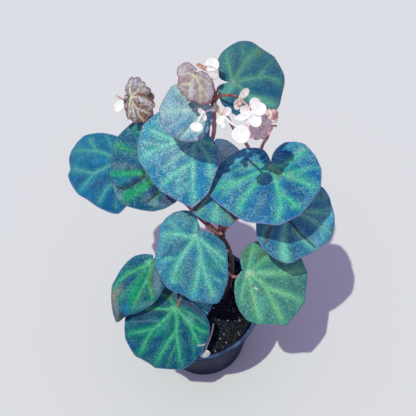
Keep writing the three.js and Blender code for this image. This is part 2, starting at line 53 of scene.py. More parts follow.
MM = 0.001
BODY = "root"
Point = tuple[float, float, float]
Colour = tuple[float, float, float]
Spot = tuple[float, float]
Path = tuple[Spot, ...]
Values = np.ndarray
Span = tuple[float, float]
Socket = bpy.types.NodeSocket
Mesh = bmesh.types.BMesh
Corner = bmesh.types.BMVert
Piece = bpy.types.Object
Material = bpy.types.Material


def linear(shade: Colour) -> Colour:
    """Turns a display colour of 0 to 255 a channel into linear values.

    Args:
        shade: Red, green and blue.

    Returns:
        The linear colour.
    """
    channels = []
    for value in shade:
        share = value / 255
        channels.append(share / 12.92 if share <= 0.04045 else ((share + 0.055) / 1.055) ** 2.4)
    return (channels[0], channels[1], channels[2])


# Sockets of the Mix node for colours, which are found by number.
MIX_FACTOR = 0
MIX_FIRST = 6
MIX_SECOND = 7
MIX_RESULT = 2
FULL = (0.0, 1.0)


class Shader:
    """One material's node tree around a Principled BSDF, built a node at a time."""

    def __init__(self, name: str) -> None:
        """Starts an empty material with its Principled BSDF.

        Args:
            name: Name of the material.
        """
        self.material = bpy.data.materials.new(name)
        self.material.use_nodes = True
        self.tree = self.material.node_tree
        self.bsdf = self.tree.nodes["Principled BSDF"]
        self.place = self.node("ShaderNodeTexCoord").outputs["Object"]

    def node(self, kind: str, inputs: dict | None = None, **settings: object) -> bpy.types.Node:
        """Adds a node.

        Args:
            kind: Type name of the node.
            inputs: Values or sockets for its inputs, by name or number.
            **settings: Properties of the node.

        Returns:
            The new node.
        """
        made = self.tree.nodes.new(kind)
        for key, value in settings.items():
            setattr(made, key, value)
        for key, value in (inputs or {}).items():
            self.feed(made.inputs[key], value)
        return made

    def feed(self, socket: Socket, value: object) -> None:
        """Links a socket to another or sets its value.

        Args:
            socket: Input socket.
            value: Output socket, number or colour.
        """
        if isinstance(value, Socket):
            self.tree.links.new(value, socket)
        elif isinstance(value, tuple) and len(socket.default_value) == 4:
            socket.default_value = (*value, 1.0)
        else:
            socket.default_value = value

    def set(self, **values: object) -> None:
        """Sets inputs of the Principled BSDF, with underscores for spaces in their names."""
        for key, value in values.items():
            self.feed(self.bsdf.inputs[key.replace("_", " ")], value)

    def mix(self, factor: object, first: object, second: object) -> Socket:
        """Mixes two colours."""
        inputs = {MIX_FACTOR: factor, MIX_FIRST: first, MIX_SECOND: second}
        return self.node("ShaderNodeMix", inputs, data_type="RGBA").outputs[MIX_RESULT]

    def math(self, operation: str, first: object, second: object = 0.0) -> Socket:
        """Combines two numbers."""
        made = self.node("ShaderNodeMath", {0: first, 1: second}, operation=operation, use_clamp=True)
        return made.outputs[0]

    def free_math(self, operation: str, *values: object) -> Socket:
        """Combines two or three numbers."""
        return self.node("ShaderNodeMath", dict(enumerate(values)), operation=operation).outputs[0]

    def span(self, value: object, ends: Span, out: Span = FULL) -> Socket:
        """Maps a stretch of values smoothly onto another."""
        inputs = dict(zip(("From Min", "From Max", "To Min", "To Max"), (*ends, *out)), Value=value)
        return self.node("ShaderNodeMapRange", inputs, interpolation_type="SMOOTHSTEP").outputs["Result"]

    def wide(self, value: object) -> Socket:
        """Maps 0 to 1 straight onto -1 to 1, without a limit."""
        return self.free_math("MULTIPLY_ADD", value, 2.0, -1.0)

    def noise(self, scale: float, detail: float) -> Socket:
        """Adds a noise texture on the object's own coordinates."""
        made = self.node("ShaderNodeTexNoise", {"Vector": self.place, "Scale": scale, "Detail": detail})
        return made.outputs["Fac"]

    def cells(self, scale: float) -> tuple[Socket, Socket]:
        """Adds a Voronoi texture on the object's own coordinates.

        Args:
            scale: Cells per metre.

        Returns:
            The distance and the first channel of the random colour of each cell.
        """
        made = self.node("ShaderNodeTexVoronoi", {"Vector": self.place, "Scale": scale})
        parts = self.node("ShaderNodeSeparateColor", {"Color": made.outputs["Color"]})
        return made.outputs["Distance"], parts.outputs[0]

    def bump(self, height: object, strength: float, distance: float) -> None:
        """Drives the surface normal from a height."""
        made = self.node("ShaderNodeBump", {"Height": height, "Strength": strength, "Distance": distance})
        self.feed(self.bsdf.inputs["Normal"], made.outputs[0])


# Stretches of the noises, of the lean to the light, which paints shade and glints, and of the grain, and the
# shares that they give.
CLOUD_DETAIL = 4.0
CLOUD_ENDS = (0.35, 0.65)
CLOUD_DRIFT = (-0.3, 0.3)
CLOUD_RELIEF = 0.5
LEAN_AWAY = (0.75, 0.25)
LEAN_TOWARDS = (0.45, 0.8)
LEAN_SHARE = (0.0, 0.35)
GLOW_ENDS = (0.2, 0.55)
GLOW_SHARE = (0.65, 1.0)
FRAY = (0.55, 1.15)
ZONE_ENDS = (0.4, 0.6)
ZONE_SHARE = (0.1, 0.9)
TINT_ENDS = (0.1, 0.8)
TINT_SHARE = (1.0, 0.5)
GRIT_ENDS = (0.3, 0.65)
SPECK_CHANCE = (0.4, 0.8)
SPECK_SIZE = (0.95, 0.4)
RIM_ENDS = (0.13, 0.02)
RIM_SHARE = 0.9


@dataclass(frozen=True)
class LeafFinish:
    """Display colours of a blade's face: its two grounds, the glow along its veins, veins, grain and rim.

    Cloud, zone, cell and coarse_cell are features per metre: of the clouds in the ground, of the areas
    with more grain, and of the fine and the coarser grain. Grit is how far the brightness of the grain
    varies, and vein is how strongly the veins show. The deep ground also serves as painted shade.
    """

    base: Colour
    deep: Colour
    glow: Colour
    line: Colour
    grain: Colour
    grain_share: float
    edge: Colour
    cloud: float = 75.0
    zone: float = 130.0
    cell: float = 1850.0
    coarse_cell: float = 1147.0
    grit: float = 0.3
    grit_least: float = 0.85
    grit_most: float = 1.3
    vein: float = 0.6
    gloss: float = 0.1
    roughness: float = 0.48
    relief: float = 0.4
    relief_size: float = 0.0005

    def ground(self, shader: Shader, cloud: Socket, lean: Socket, glow: Socket) -> Socket:
        """Clouds the two grounds, with the deep one as painted shade where the face leans from the light, and
        adds the glow.

        Args:
            shader: The material's shader.
            cloud: Noise of the clouds.
            lean: How far the face leans towards the light.
            glow: Strength of the glow along the veins.

        Returns:
            The colour.
        """
        share = shader.math("ADD", shader.span(cloud, CLOUD_ENDS, CLOUD_DRIFT), shader.span(lean, LEAN_AWAY))
        colour = shader.mix(share, linear(self.base), linear(self.deep))
        glow_share = shader.math("MULTIPLY", glow, shader.span(cloud, GLOW_ENDS, GLOW_SHARE))
        return shader.mix(glow_share, colour, linear(self.glow))

    def gritted(self, shader: Shader, colour: Socket, chance: Socket, zone: Socket) -> Socket:
        """Makes a colour brighter and darker from cell to cell.

        Args:
            shader: The material's shader.
            colour: The colour.
            chance: Random value of each fine cell.
            zone: Noise of the areas with more grain.

        Returns:
            The gritty colour.
        """
        grit = shader.span(zone, GRIT_ENDS, (self.grit_least * self.grit, self.grit_most * self.grit))
        _, coarse_chance = shader.cells(self.coarse_cell)
        swing = shader.free_math("ADD", shader.wide(chance), shader.wide(coarse_chance))
        factor = shader.free_math("MULTIPLY_ADD", swing, grit, 1.0)
        scaled = shader.node("ShaderNodeVectorMath", {0: colour, "Scale": factor}, operation="SCALE")
        return scaled.outputs[0]

    def speck(
        self, shader: Shader, spot: tuple[Socket, Socket], zone: Socket, lean: Socket, tint: Socket
    ) -> Socket:
        """Gives the strength of the pale specks, which gather in random areas and, as painted glints, on
        faces towards the light.

        Args:
            shader: The material's shader.
            spot: Distance to the middle of each fine cell and its random value.
            zone: Noise of the areas with more grain.
            lean: How far the face leans towards the light.
            tint: Cover of the local colours, which have fewer specks.

        Returns:
            The strength.
        """
        distance, chance = spot
        lit = shader.span(lean, LEAN_TOWARDS, LEAN_SHARE)
        patch = shader.math("ADD", shader.span(zone, ZONE_ENDS, ZONE_SHARE), lit)
        patch = shader.math("MULTIPLY", patch, shader.span(tint, TINT_ENDS, TINT_SHARE))
        speck = shader.math("MULTIPLY", shader.span(chance, SPECK_CHANCE), shader.span(distance, SPECK_SIZE))
        return shader.math("MULTIPLY", speck, patch)

    def material(self, name: str) -> Material:
        """Makes the blade's material, which reads the piece's own pattern and tint.

        Args:
            name: Name of the material.

        Returns:
            The material.
        """
        shader = Shader(name)
        pattern = shader.node("ShaderNodeAttribute", attribute_name="pattern").outputs
        parts = shader.node("ShaderNodeSeparateColor", {"Color": pattern["Color"]})
        line, glow, inset, lean = *parts.outputs[:3], pattern["Alpha"]
        tint = shader.node("ShaderNodeAttribute", attribute_name="tint").outputs
        cloud, zone = shader.noise(self.cloud, CLOUD_DETAIL), shader.noise(self.zone, CLOUD_DETAIL)
        distance, chance = shader.cells(self.cell)
        colour = self.ground(shader, cloud, lean, glow)
        colour = shader.mix(tint["Alpha"], colour, tint["Color"])
        fray = shader.math("MULTIPLY", shader.span(chance, FULL, FRAY), self.vein)
        colour = shader.mix(shader.math("MULTIPLY", line, fray), colour, linear(self.line))
        colour = self.gritted(shader, colour, chance, zone)
        speck = self.speck(shader, (distance, chance), zone, lean, tint["Alpha"])
        colour = shader.mix(shader.math("MULTIPLY", speck, self.grain_share), colour, linear(self.grain))
        rim = shader.math("MULTIPLY", shader.span(inset, RIM_ENDS), RIM_SHARE)
        colour = shader.mix(rim, colour, linear(self.edge))
        shader.set(Base_Color=colour, Roughness=self.roughness, Specular_IOR_Level=self.gloss)
        relief = shader.math("ADD", speck, shader.math("MULTIPLY", cloud, CLOUD_RELIEF))
        shader.bump(relief, self.relief, self.relief_size)
        return shader.material


class LeafTone(Enum):
    """Finishes of the grown leaves."""

    DUSK = LeafFinish(
        base=(54, 116, 132), deep=(34, 98, 132), glow=(76, 144, 130), line=(108, 178, 138),
        grain=(132, 172, 172), grain_share=0.4, edge=(104, 116, 150), vein=0.5, grit=0.19,
    )
    # Far paler than the leaf, as painted light on a blade that lies in shade.
    CYAN_PAINTED_LIGHT = LeafFinish(
        base=(150, 228, 244), deep=(118, 210, 240), glow=(176, 240, 240), line=(204, 246, 238),
        grain=(236, 252, 255), grain_share=0.9, edge=(150, 170, 210), vein=0.5, grit=0.26,
    )
    PALE = LeafFinish(
        base=(122, 170, 192), deep=(80, 132, 170), glow=(140, 194, 192), line=(192, 222, 216),
        grain=(206, 220, 230), grain_share=0.75, edge=(156, 130, 166), vein=0.55, grit=0.2,
    )
    AQUA = LeafFinish(
        base=(58, 144, 168), deep=(16, 112, 162), glow=(82, 184, 176), line=(150, 218, 194),
        grain=(186, 230, 232), grain_share=0.85, edge=(136, 140, 182), vein=0.6, grit=0.24,
    )
    LAGOON = LeafFinish(
        base=(52, 140, 180), deep=(18, 102, 160), glow=(58, 174, 154), line=(112, 212, 164),
        grain=(150, 212, 202), grain_share=0.75, edge=(122, 136, 190), vein=0.55, grit=0.25,
    )
    SAPPHIRE = LeafFinish(
        base=(22, 114, 152), deep=(6, 86, 136), glow=(50, 142, 148), line=(110, 184, 168),
        grain=(112, 170, 186), grain_share=0.45, edge=(132, 140, 184), vein=0.55, grit=0.2,
    )
    INDIGO = LeafFinish(
        base=(64, 152, 166), deep=(48, 116, 158), glow=(98, 196, 172), line=(150, 216, 188),
        grain=(152, 200, 198), grain_share=0.65, edge=(110, 134, 176), vein=0.5, grit=0.24,
    )
    EMERALD = LeafFinish(
        base=(6, 102, 134), deep=(0, 76, 116), glow=(10, 130, 112), line=(70, 186, 124),
        grain=(150, 190, 186), grain_share=0.6, edge=(84, 132, 140), vein=0.4, grit=0.28,
    )
    JADE = LeafFinish(
        base=(10, 100, 126), deep=(2, 74, 108), glow=(20, 146, 110), line=(104, 208, 146),
        grain=(112, 168, 168), grain_share=0.55, edge=(86, 128, 164), vein=0.65, grit=0.26,
    )
    TEAL = LeafFinish(
        base=(62, 142, 162), deep=(34, 112, 152), glow=(84, 184, 164), line=(136, 218, 188),
        grain=(156, 206, 210), grain_share=0.65, edge=(96, 132, 176), vein=0.6, grit=0.24,
    )
    MEADOW = LeafFinish(
        base=(82, 162, 140), deep=(60, 134, 126), glow=(104, 194, 144), line=(150, 216, 160),
        grain=(164, 204, 178), grain_share=0.5, edge=(88, 146, 152), vein=0.5, grit=0.24,
    )


class YoungTone(Enum):
    """Finishes of the young leaves."""

    MAUVE = LeafFinish(
        base=(176, 168, 176), deep=(92, 66, 60), glow=(150, 130, 122), line=(236, 230, 206),
        grain=(224, 222, 232), grain_share=0.65, edge=(136, 100, 108), cloud=240.0, vein=0.95, grit=0.28,
    )
    BLUSH = LeafFinish(
        base=(190, 178, 186), deep=(154, 132, 130), glow=(174, 158, 152), line=(212, 212, 184),
        grain=(214, 206, 218), grain_share=0.4, edge=(160, 114, 132), cloud=260.0, vein=0.85, grit=0.14,
    )
    # Paler than the young leaf, as painted light where the flowers shade it.
    PINK = LeafFinish(
        base=(255, 230, 222), deep=(236, 170, 170), glow=(248, 206, 200), line=(255, 248, 230),
        grain=(250, 240, 246), grain_share=0.5, edge=(196, 140, 152), cloud=300.0, vein=0.85, grit=0.16,
    )


class Tint(Enum):
    """Local display colours on blades, of which some are painted shade, painted shadow and painted light."""

    NAVY = (14, 70, 124)
    SKY = (40, 142, 190)
    # Pale cyan painted light, for parts of blades that lie in shade.
    PAINTED_CYAN_LIGHT = (96, 198, 232)
    EMERALD = (30, 168, 104)
    MINT = (120, 206, 180)
    MIST = (158, 190, 196)
    # Slate grey of the leaves, also painted shade in a groove.
    SLATE_AND_PAINTED_SHADE = (74, 108, 124)
    # Olive of veins and midribs, also a painted shadow.
    OLIVE_AND_PAINTED_SHADE = (104, 124, 62)
    # Painted shade and shadow, olive green.
    PAINTED_GREEN_SHADE = (66, 92, 60)
    # Brown of young leaves and small marks, also painted shade and painted shadows.
    BROWN_AND_PAINTED_SHADE = (92, 66, 62)
    RUST = (156, 104, 66)
    TAN = (150, 138, 120)
    # Plum, also a painted shadow.
    PLUM_AND_PAINTED_SHADE = (78, 66, 104)
    WINE = (120, 52, 66)
    # Painted shade and shadow, dark brown.
    PAINTED_DARK_SHADE = (48, 44, 34)
    # Painted shade in creases.
    PAINTED_CREASE_SHADE = (16, 44, 60)
    # Painted shadow, deep blue.
    PAINTED_BLUE_SHADOW = (2, 56, 92)
    PINE = (2, 84, 88)
    CREAM = (226, 222, 208)
    ROSE = (186, 150, 160)
    LIME = (206, 204, 112)
    SILVER = (206, 206, 222)


def falloff(distance: Values, width: float | Values, power: float = 2) -> Values:
    """Falls softly from 1 at a distance of 0 towards 0 past a width."""
    return np.exp(-((distance / width) ** power))


@dataclass(frozen=True)
class Patch:
    """A soft ellipse of a local colour on a blade, in the blade's own millimetres and degrees.

    Sway is how far the blade's own ripples bend its outline, in millimetres.
    """

    at: Spot
    size: Spot
    turn: float
    tint: Tint
    share: float = 0.7
    sway: float = 1.0
    softness: float = 3

    def cover(self, x: Values, y: Values) -> Values:
        """Gives how much of each point the ellipse covers.

        Args:
            x: Distances along the midrib.
            y: Distances to the left of it.

        Returns:
            The shares.
        """
        turn = math.radians(self.turn)
        dx, dy = x - self.at[0], y - self.at[1]
        along = (dx * math.cos(turn) + dy * math.sin(turn)) / self.size[0]
        across = (dy * math.cos(turn) - dx * math.sin(turn)) / self.size[1]
        return self.share * falloff(np.hypot(along, across), 1.0, self.softness)


@dataclass(frozen=True)
class Stripe:
    """A soft line of a local colour along points on a blade, which may be a groove; dark ones in creases are
    painted shade.
    """

    path: Path
    width: float
    tint: Tint
    share: float = 0.8
    depth: float = 0.0
    sway: float = 0.25
    softness: float = 2.5
    spread: float = 1.6

    def cover(self, x: Values, y: Values) -> Values:
        """Gives how much of each point the line covers."""
        return self.share * falloff(nearest(x, y, (self.path,)), self.width, self.softness)

    def groove(self, x: Values, y: Values) -> Values:
        """Measures how deep the groove is."""
        return self.depth * falloff(nearest(x, y, (self.path,)), self.width * self.spread)


# Distance where a blade has no such vein.
FAR = 1e3


def nearest(x: Values, y: Values, paths: tuple[Path, ...]) -> Values:
    """Measures from points to the nearest of some paths.

    Args:
        x: Distances along the midrib.
        y: Distances to the left of it.
        paths: Paths through points.

    Returns:
        The distances.
    """
    best = np.full_like(x, FAR)
    for path in paths:
        for (ax, ay), (bx, by) in zip(path, path[1:]):
            run, rise = bx - ax, by - ay
            t = np.clip(((x - ax) * run + (y - ay) * rise) / (run * run + rise * rise), 0, 1)
            best = np.minimum(best, np.hypot(x - ax - t * run, y - ay - t * rise))
    return best


# Mottling, fine grain and flecks of the plain finishes, the two scales as multiples of the mottling's.
MOTTLE_ENDS = (0.35, 0.65)
MOTTLE_DETAIL = 4.0
MOTTLE_RELIEF = 0.5
FINE_DETAIL = 3.0
FINE_SCALE = 6.0
FLECK_SCALE = 4.0
FLECK_ENDS = (0.8, 0.95)


@dataclass(frozen=True)
class PlainFinish:
    """A surface of two mottled display colours with fine relief, and flecks of a third on some.

    Scale is the number of mottles per metre.
    """

    name: str
    light: Colour
    dark: Colour
    scale: float
    roughness: float
    relief: float
    relief_size: float
    flecks: Colour | None = None
    gloss: float = 0.5

    def material(self) -> Material:
        """Makes the material.

        Returns:
            The material.
        """
        shader = Shader(self.name)
        mottle = shader.noise(self.scale, MOTTLE_DETAIL)
        fine = shader.noise(self.scale * FINE_SCALE, FINE_DETAIL)
        colour = shader.mix(shader.span(mottle, MOTTLE_ENDS), linear(self.dark), linear(self.light))
        if self.flecks:
            _, chance = shader.cells(self.scale * FLECK_SCALE)
            colour = shader.mix(shader.span(chance, FLECK_ENDS), colour, linear(self.flecks))
        shader.set(Base_Color=colour, Roughness=self.roughness, Specular_IOR_Level=self.gloss)
        height = shader.math("ADD", shader.math("MULTIPLY", mottle, MOTTLE_RELIEF), fine)
        shader.bump(height, self.relief, self.relief_size)
        return shader.material


class FinishSet(Enum):
    """Named finishes of one kind of piece, in the order of its materials."""

    @property
    def index(self) -> int:
        """Gives the finish's place among the materials of its piece."""
        return list(type(self)).index(self)

    @classmethod
    def materials(cls) -> list[Material]:
        """Makes the material of every finish, in their order."""
        return [finish.value.material() for finish in cls]


class StemFinish(FinishSet):
    """Finishes of the stems, stalks and papery bracts."""

    RED = PlainFinish("stalk_red", (204, 130, 136), (152, 82, 92), 260.0, 0.38, 0.25, 0.0004, (214, 158, 156))
    GREEN = PlainFinish(
        "stalk_green", (140, 160, 84), (96, 118, 58), 260.0, 0.4, 0.25, 0.0004, (180, 180, 120),
    )
    PINK = PlainFinish(
        "stalk_pink", (190, 132, 116), (150, 92, 80), 260.0, 0.4, 0.25, 0.0004, (216, 172, 150),
    )
    BARK = PlainFinish("bark", (104, 92, 86), (52, 44, 42), 420.0, 0.8, 0.6, 0.0008)
    # Far paler than the dry bracts, as painted light for bracts that lie in shade.
    PAPERY = PlainFinish(
        "papery_bract", (255, 212, 184), (232, 158, 128), 520.0, 0.6, 0.4, 0.0004, (255, 236, 216),
    )
    DARK = PlainFinish("twig_red", (166, 86, 78), (126, 54, 54), 260.0, 0.38, 0.25, 0.0004, (186, 116, 104))


class BloomFinish(FinishSet):
    """Finishes of the petals, stamens and flower stalks."""

    WHITE = PlainFinish("petal_white", (255, 255, 252), (252, 248, 248), 200.0, 0.45, 0.2, 0.0004)
    PEARL = PlainFinish("petal_pearl", (236, 230, 228), (208, 196, 196), 300.0, 0.45, 0.25, 0.0004)
    PEACH = PlainFinish("petal_peach", (226, 196, 180), (186, 138, 128), 420.0, 0.45, 0.25, 0.0004)
    YELLOW = PlainFinish("stamen_yellow", (250, 240, 204), (230, 204, 150), 900.0, 0.5, 0.5, 0.0004)
    STALK = PlainFinish("pedicel", (255, 252, 250), (246, 236, 234), 300.0, 0.45, 0.2, 0.0004)
    HUSK = PlainFinish("spent_petal", (252, 248, 226), (224, 196, 160), 330.0, 0.6, 0.35, 0.0004)
    BLUSH = PlainFinish("petal_blush", (252, 248, 250), (228, 204, 214), 190.0, 0.45, 0.25, 0.0004)


class FallenFinish(FinishSet):
    """Finishes of the fallen flower."""

    # Greyer than the petals on the plant, as painted shade.
    PETAL = PlainFinish("petal_grey_painted_shade", (208, 214, 218), (176, 180, 188), 300.0, 0.45, 0.25, 0.0004)
    STALK = BloomFinish.STALK.value


class GroundFinish(Enum):
    """Finishes of the soil and of what lies on it."""

    SOIL = PlainFinish(
        "potting_soil", (30, 36, 50), (8, 10, 18), 520.0, 0.95, 0.9, 0.0012, (84, 94, 108), gloss=0.15,
    )
    CRUMB = PlainFinish("soil_crumb", (44, 50, 64), (12, 14, 22), 900.0, 0.95, 0.8, 0.0008, gloss=0.15)
    PERLITE = PlainFinish("perlite", (220, 218, 216), (168, 166, 168), 900.0, 0.8, 0.6, 0.0005)
    GRIT = PlainFinish("grit", (150, 146, 150), (96, 90, 96), 1500.0, 0.8, 0.4, 0.0003)
    BARK_CHIP = PlainFinish("bark_chip", (70, 68, 74), (26, 26, 34), 900.0, 0.9, 0.7, 0.0006, gloss=0.2)


class PotFinish(FinishSet):
    """Finishes of the pot's wall and of the top of its rim, which is lighter as a painted highlight."""

    WALL = PlainFinish("pot_plastic", (14, 26, 66), (9, 17, 46), 60.0, 0.45, 0.08, 0.0003, gloss=0.03)
    RIM_PAINTED_HIGHLIGHT = PlainFinish("pot_rim_painted_highlight", (78, 102, 138), (44, 60, 96), 160.0, 0.45, 0.15, 0.0003, gloss=0.2)


UNDERSIDE = PlainFinish("leaf_underside", (104, 76, 96), (62, 44, 64), 160.0, 0.5, 0.3, 0.0006)


def dressed(piece: Piece, slot: str, *nodes: str) -> Piece:
    """Sets a piece on the object's body and in place of its nodes.

    Args:
        piece: The finished piece.
        slot: Not used.
        *nodes: Nodes that the piece stands for.

    Returns:
        The piece.
    """
    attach(piece, BODY)
    if nodes:
        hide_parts(*nodes)
    return piece


def make_object(bm: Mesh, name: str, *materials: Material, smooth: bool = True) -> Piece:
    """Turns a finished bmesh in millimetres into an object in metres.

    Args:
        bm: The mesh, which is freed.
        name: Name of the object.
        *materials: Its materials in order.
        smooth: Whether the faces are shaded smooth.

    Returns:
        The object.
    """
    bmesh.ops.scale(bm, vec=(MM, MM, MM), verts=bm.verts)
    for face in bm.faces:
        face.smooth = smooth
    mesh = bpy.data.meshes.new(name)
    bm.to_mesh(mesh)
    bm.free()
    for material in materials:
        mesh.materials.append(material)
    made = bpy.data.objects.new(name, mesh)
    bpy.context.scene.collection.objects.link(made)
    return made


# Points closer than this are joined, in millimetres and on the disc of radius 1.
WELD = 1e-4
DISC_WELD = 1e-5


def spun(section: list[Spot], steps: int, weld: float = WELD) -> Mesh:
    """Spins a section round the Z axis.

    Args:
        section: Radius and height of each point of the section.
        steps: Steps round the axis.
        weld: Distance under which points are joined.

    Returns:
        The mesh.
    """
    bm = bmesh.new()
    row = [bm.verts.new((radius, 0, z)) for radius, z in section]
    edges = [bm.edges.new(pair) for pair in zip(row, row[1:])]
    bmesh.ops.spin(
        bm, geom=row + edges, axis=(0, 0, 1), cent=(0, 0, 0), angle=math.tau, steps=steps, use_merge=True
    )
    bmesh.ops.remove_doubles(bm, verts=bm.verts, dist=weld)
    bmesh.ops.recalc_face_normals(bm, faces=bm.faces)
    return bm


def polar_disc(segments: int, rings: int) -> Mesh:
    """Spins a row of points into a flat disc of radius 1 with even rings.

    Args:
        segments: Steps round the disc.
        rings: Steps from its middle to its rim.

    Returns:
        The disc, which faces up.
    """
    bm = spun([(k / rings, 0) for k in range(rings + 1)], segments, DISC_WELD)
    if sum(face.normal.z for face in bm.faces) < 0:
        bmesh.ops.reverse_faces(bm, faces=bm.faces)
    return bm


def pour(source: Mesh, bm: Mesh) -> None:
    """Adds one mesh to another and frees it.

    Args:
        source: Mesh to add.
        bm: Mesh that it is added to.
    """
    carrier = bpy.data.meshes.new("carrier")
    source.to_mesh(carrier)
    source.free()
    bm.from_mesh(carrier)
    bpy.data.meshes.remove(carrier)


def paint(corners: list[Corner], index: int) -> None:
    """Gives the faces at some corners a material."""
    for face in {face for corner in corners for face in corner.link_faces}:
        face.material_index = index


def leaf_turn(heading: float, slope: float, roll: float = 0.0) -> Matrix:
    """Turns a leaf's own frame into the object's frame."""
    return Euler((math.radians(roll), math.radians(slope), math.radians(heading)), "XYZ").to_matrix().to_4x4()


# The notch, the fold's rounded ridge, the veins with the glow along them, the rim and the sway of the
# local colours, in millimetres of the blade or shares of the way to its margin.
NOTCH_DEPTH = 0.75
NOTCH_CROWD = 1.2
LAST_ANGLE = 179.999
RIDGE = 2.0
VEIN_WIDTH = 0.65
VEIN_TAPER = 0.9
VEIN_END = 1.04
VEIN_FADE = 3.5
FAINT_VEIN = 0.5
GLOW_WIDTH = 2.2
GLOW_END = 1.05
GLOW_FADE = 5
FAINT_GLOW = 0.6
INSET_REACH = 10
SWAY_SIZE = 3.5
SWAY_SEEDS = (7.7, 3.3)
# Direction towards the light; a face's lean to it paints shade and glints into the leaf colours.
SUNNY = Vector((-0.3, 0.85, 0.4)).normalized()


@dataclass
class Blade:
    """A notched round blade with branching veins, in its own millimetres.

    The outline lists angles from the midrib and distances from the stalk, and corner is the share of
    straight chords in it. Size is the blade's mean reach, which its droop counts from. Between its veins
    the blade puckers up: bed_width and bed_power shape the rise beside a vein, and swell_start and
    swell_end say how soon it grows from the stalk and how much of it is left at the margin.
    """

    node: str
    at: Point
    heading: float
    slope: float
    roll: float
    droop: float
    size: float
    outline: tuple[Spot, ...]
    ribs: tuple[Path, ...]
    faint: tuple[Path, ...] = ()
    patches: tuple[Patch, ...] = ()
    stripes: tuple[Stripe, ...] = ()
    fold: float = 0.0
    corner: float = 0.5
    notch: float = 180.0
    notch_width: float = 11.0
    grow: float = 1.0
    thick: float = 0.55
    segments: int = 220
    rings: int = 46
    slot: str = "leaf"
    tone: LeafTone | YoungTone = LeafTone.AQUA
    lean_gain: float = 1.6
    vein_scale: float = 1.0
    pucker: float = 1.5
    bed_width: float = 4.2
    bed_power: float = 1.6
    swell_start: float = 1.6
    swell_end: float = 1.25

    def __post_init__(self) -> None:
        """Keeps the outline as arrays."""
        self.angles = np.array([angle for angle, _ in self.outline], float)
        self.lengths = np.array([length for _, length in self.outline], float)

    def margin(self, angle: Values) -> Values:
        """Measures from the stalk to the margin through the points of the outline.

        Args:
            angle: Angles from the midrib, in degrees.

        Returns:
            The distances, with the notch.
        """
        count = len(self.angles)
        before = np.searchsorted(self.angles, angle, side="right") - 1
        wrapped = np.where(before < 0, angle + 360, angle)
        k = before % count + count
        ring = np.concatenate([self.angles - 360, self.angles, self.angles + 360])
        reach = np.tile(self.lengths, 3)
        wide = ring[k + 1] - ring[k]
        t = (wrapped - ring[k]) / wide
        trend_a = (reach[k + 1] - reach[k - 1]) / (ring[k + 1] - ring[k - 1])
        trend_b = (reach[k + 2] - reach[k]) / (ring[k + 2] - ring[k])
        curve = (2 * t**3 - 3 * t**2 + 1) * reach[k] + (t**3 - 2 * t**2 + t) * wide * trend_a
        curve = curve + (3 * t**2 - 2 * t**3) * reach[k + 1] + (t**3 - t**2) * wide * trend_b
        span, turn = np.radians(wide), np.radians(wide * t)
        chord = reach[k] * reach[k + 1] * np.sin(span)
        chord = chord / (reach[k] * np.sin(turn) + reach[k + 1] * np.sin(span - turn))
        off = np.abs((angle - self.notch + 180) % 360 - 180)
        blend = (1 - self.corner) * curve + self.corner * chord
        return blend * (1 - NOTCH_DEPTH * falloff(off, self.notch_width))

    def sag(self, y: Values, r: Values) -> Values:
        """Measures how far the blade droops and folds below its own plane."""
        return self.droop * r**2 / self.size + self.fold * (np.hypot(y, RIDGE) - RIDGE)

    def reach(self, angle: Values) -> Values:
        """Gives the margin with its own irregularities."""
        return self.margin(angle)

    def lift(self, x: Values, y: Values, share: Values) -> Values:
        """Gives the height of the upper face over the drooping blade."""
        return np.zeros_like(x)

    def quilt(self, off: Values, share: Values) -> Values:
        """Swells the blade between its veins."""
        rise = self.pucker * (1 - falloff(off, self.bed_width, self.bed_power))
        return rise * np.clip(share * self.swell_start, 0, 1) * (self.swell_end - share)

    def ripple(self, x: Values, y: Values, step: float, seed: float) -> Values:
        """Gives smooth seeded noise over the blade."""
        return np.array([noise.noise(Vector((a / step, b / step, seed))) for a, b in zip(x, y)])

    def matrix(self) -> Matrix:
        """Places the blade's own frame in the object's frame."""
        return Matrix.Translation(self.at) @ leaf_turn(self.heading, self.slope, self.roll)

    def lines(self, x: Values, y: Values, share: Values) -> tuple[Values, Values]:
        """Draws the veins and the glow along them.

        Args:
            x: Distances along the midrib.
            y: Distances to the left of it.
            share: Shares of the way to the margin.

        Returns:
            The strengths of the veins and of their glow.
        """
        main, faint = (nearest(x, y, paths) / self.vein_scale for paths in (self.ribs, self.faint))
        width = VEIN_WIDTH + VEIN_TAPER * (1 - share)
        line = np.maximum(falloff(main, width), FAINT_VEIN * falloff(faint, width))
        near = falloff(main, GLOW_WIDTH + GLOW_WIDTH * share)
        glow = np.maximum(near, FAINT_GLOW * falloff(faint, GLOW_WIDTH))
        line = line * np.clip((VEIN_END - share) * VEIN_FADE, 0, 1)
        return line, glow * np.clip((GLOW_END - share) * GLOW_FADE, 0, 1)

    def spread(self) -> tuple[Mesh, Values, Values]:
        """Spreads a disc over the blade, with its steps closer together beside the notch.

        Returns:
            The disc, and the angle from the midrib and the share of the way to the margin of each point.
        """
        bm = polar_disc(self.segments, self.rings)
        flat = np.array([vert.co.xy for vert in bm.verts])
        turn = np.arctan2(flat[:, 1], flat[:, 0]) / math.pi
        bent = np.sign(turn) * 180 * (1 - (1 - np.abs(turn)) ** NOTCH_CROWD)
        return bm, (bent + self.notch) % 360 - 180, np.hypot(flat[:, 0], flat[:, 1])

    def tints(self, x: Values, y: Values) -> Values:
        """Lays the local colours over each other.

        Args:
            x: Distances along the midrib.
            y: Distances to the left of it.

        Returns:
            The colour and the cover of each point.
        """
        sway_x, sway_y = (self.ripple(x, y, SWAY_SIZE, seed) for seed in SWAY_SEEDS)
        tint, cover = np.zeros((len(x), 3)), np.zeros(len(x))
        for mark in (*self.patches, *self.stripes):
            more = mark.cover(x + mark.sway * sway_x, y + mark.sway * sway_y)
            total = more + cover * (1 - more)
            part = (more / np.maximum(total, 1e-6))[:, None]
            tint = tint * (1 - part) + np.array(linear(mark.tint.value)) * part
            cover = total
        return np.column_stack([tint, cover])

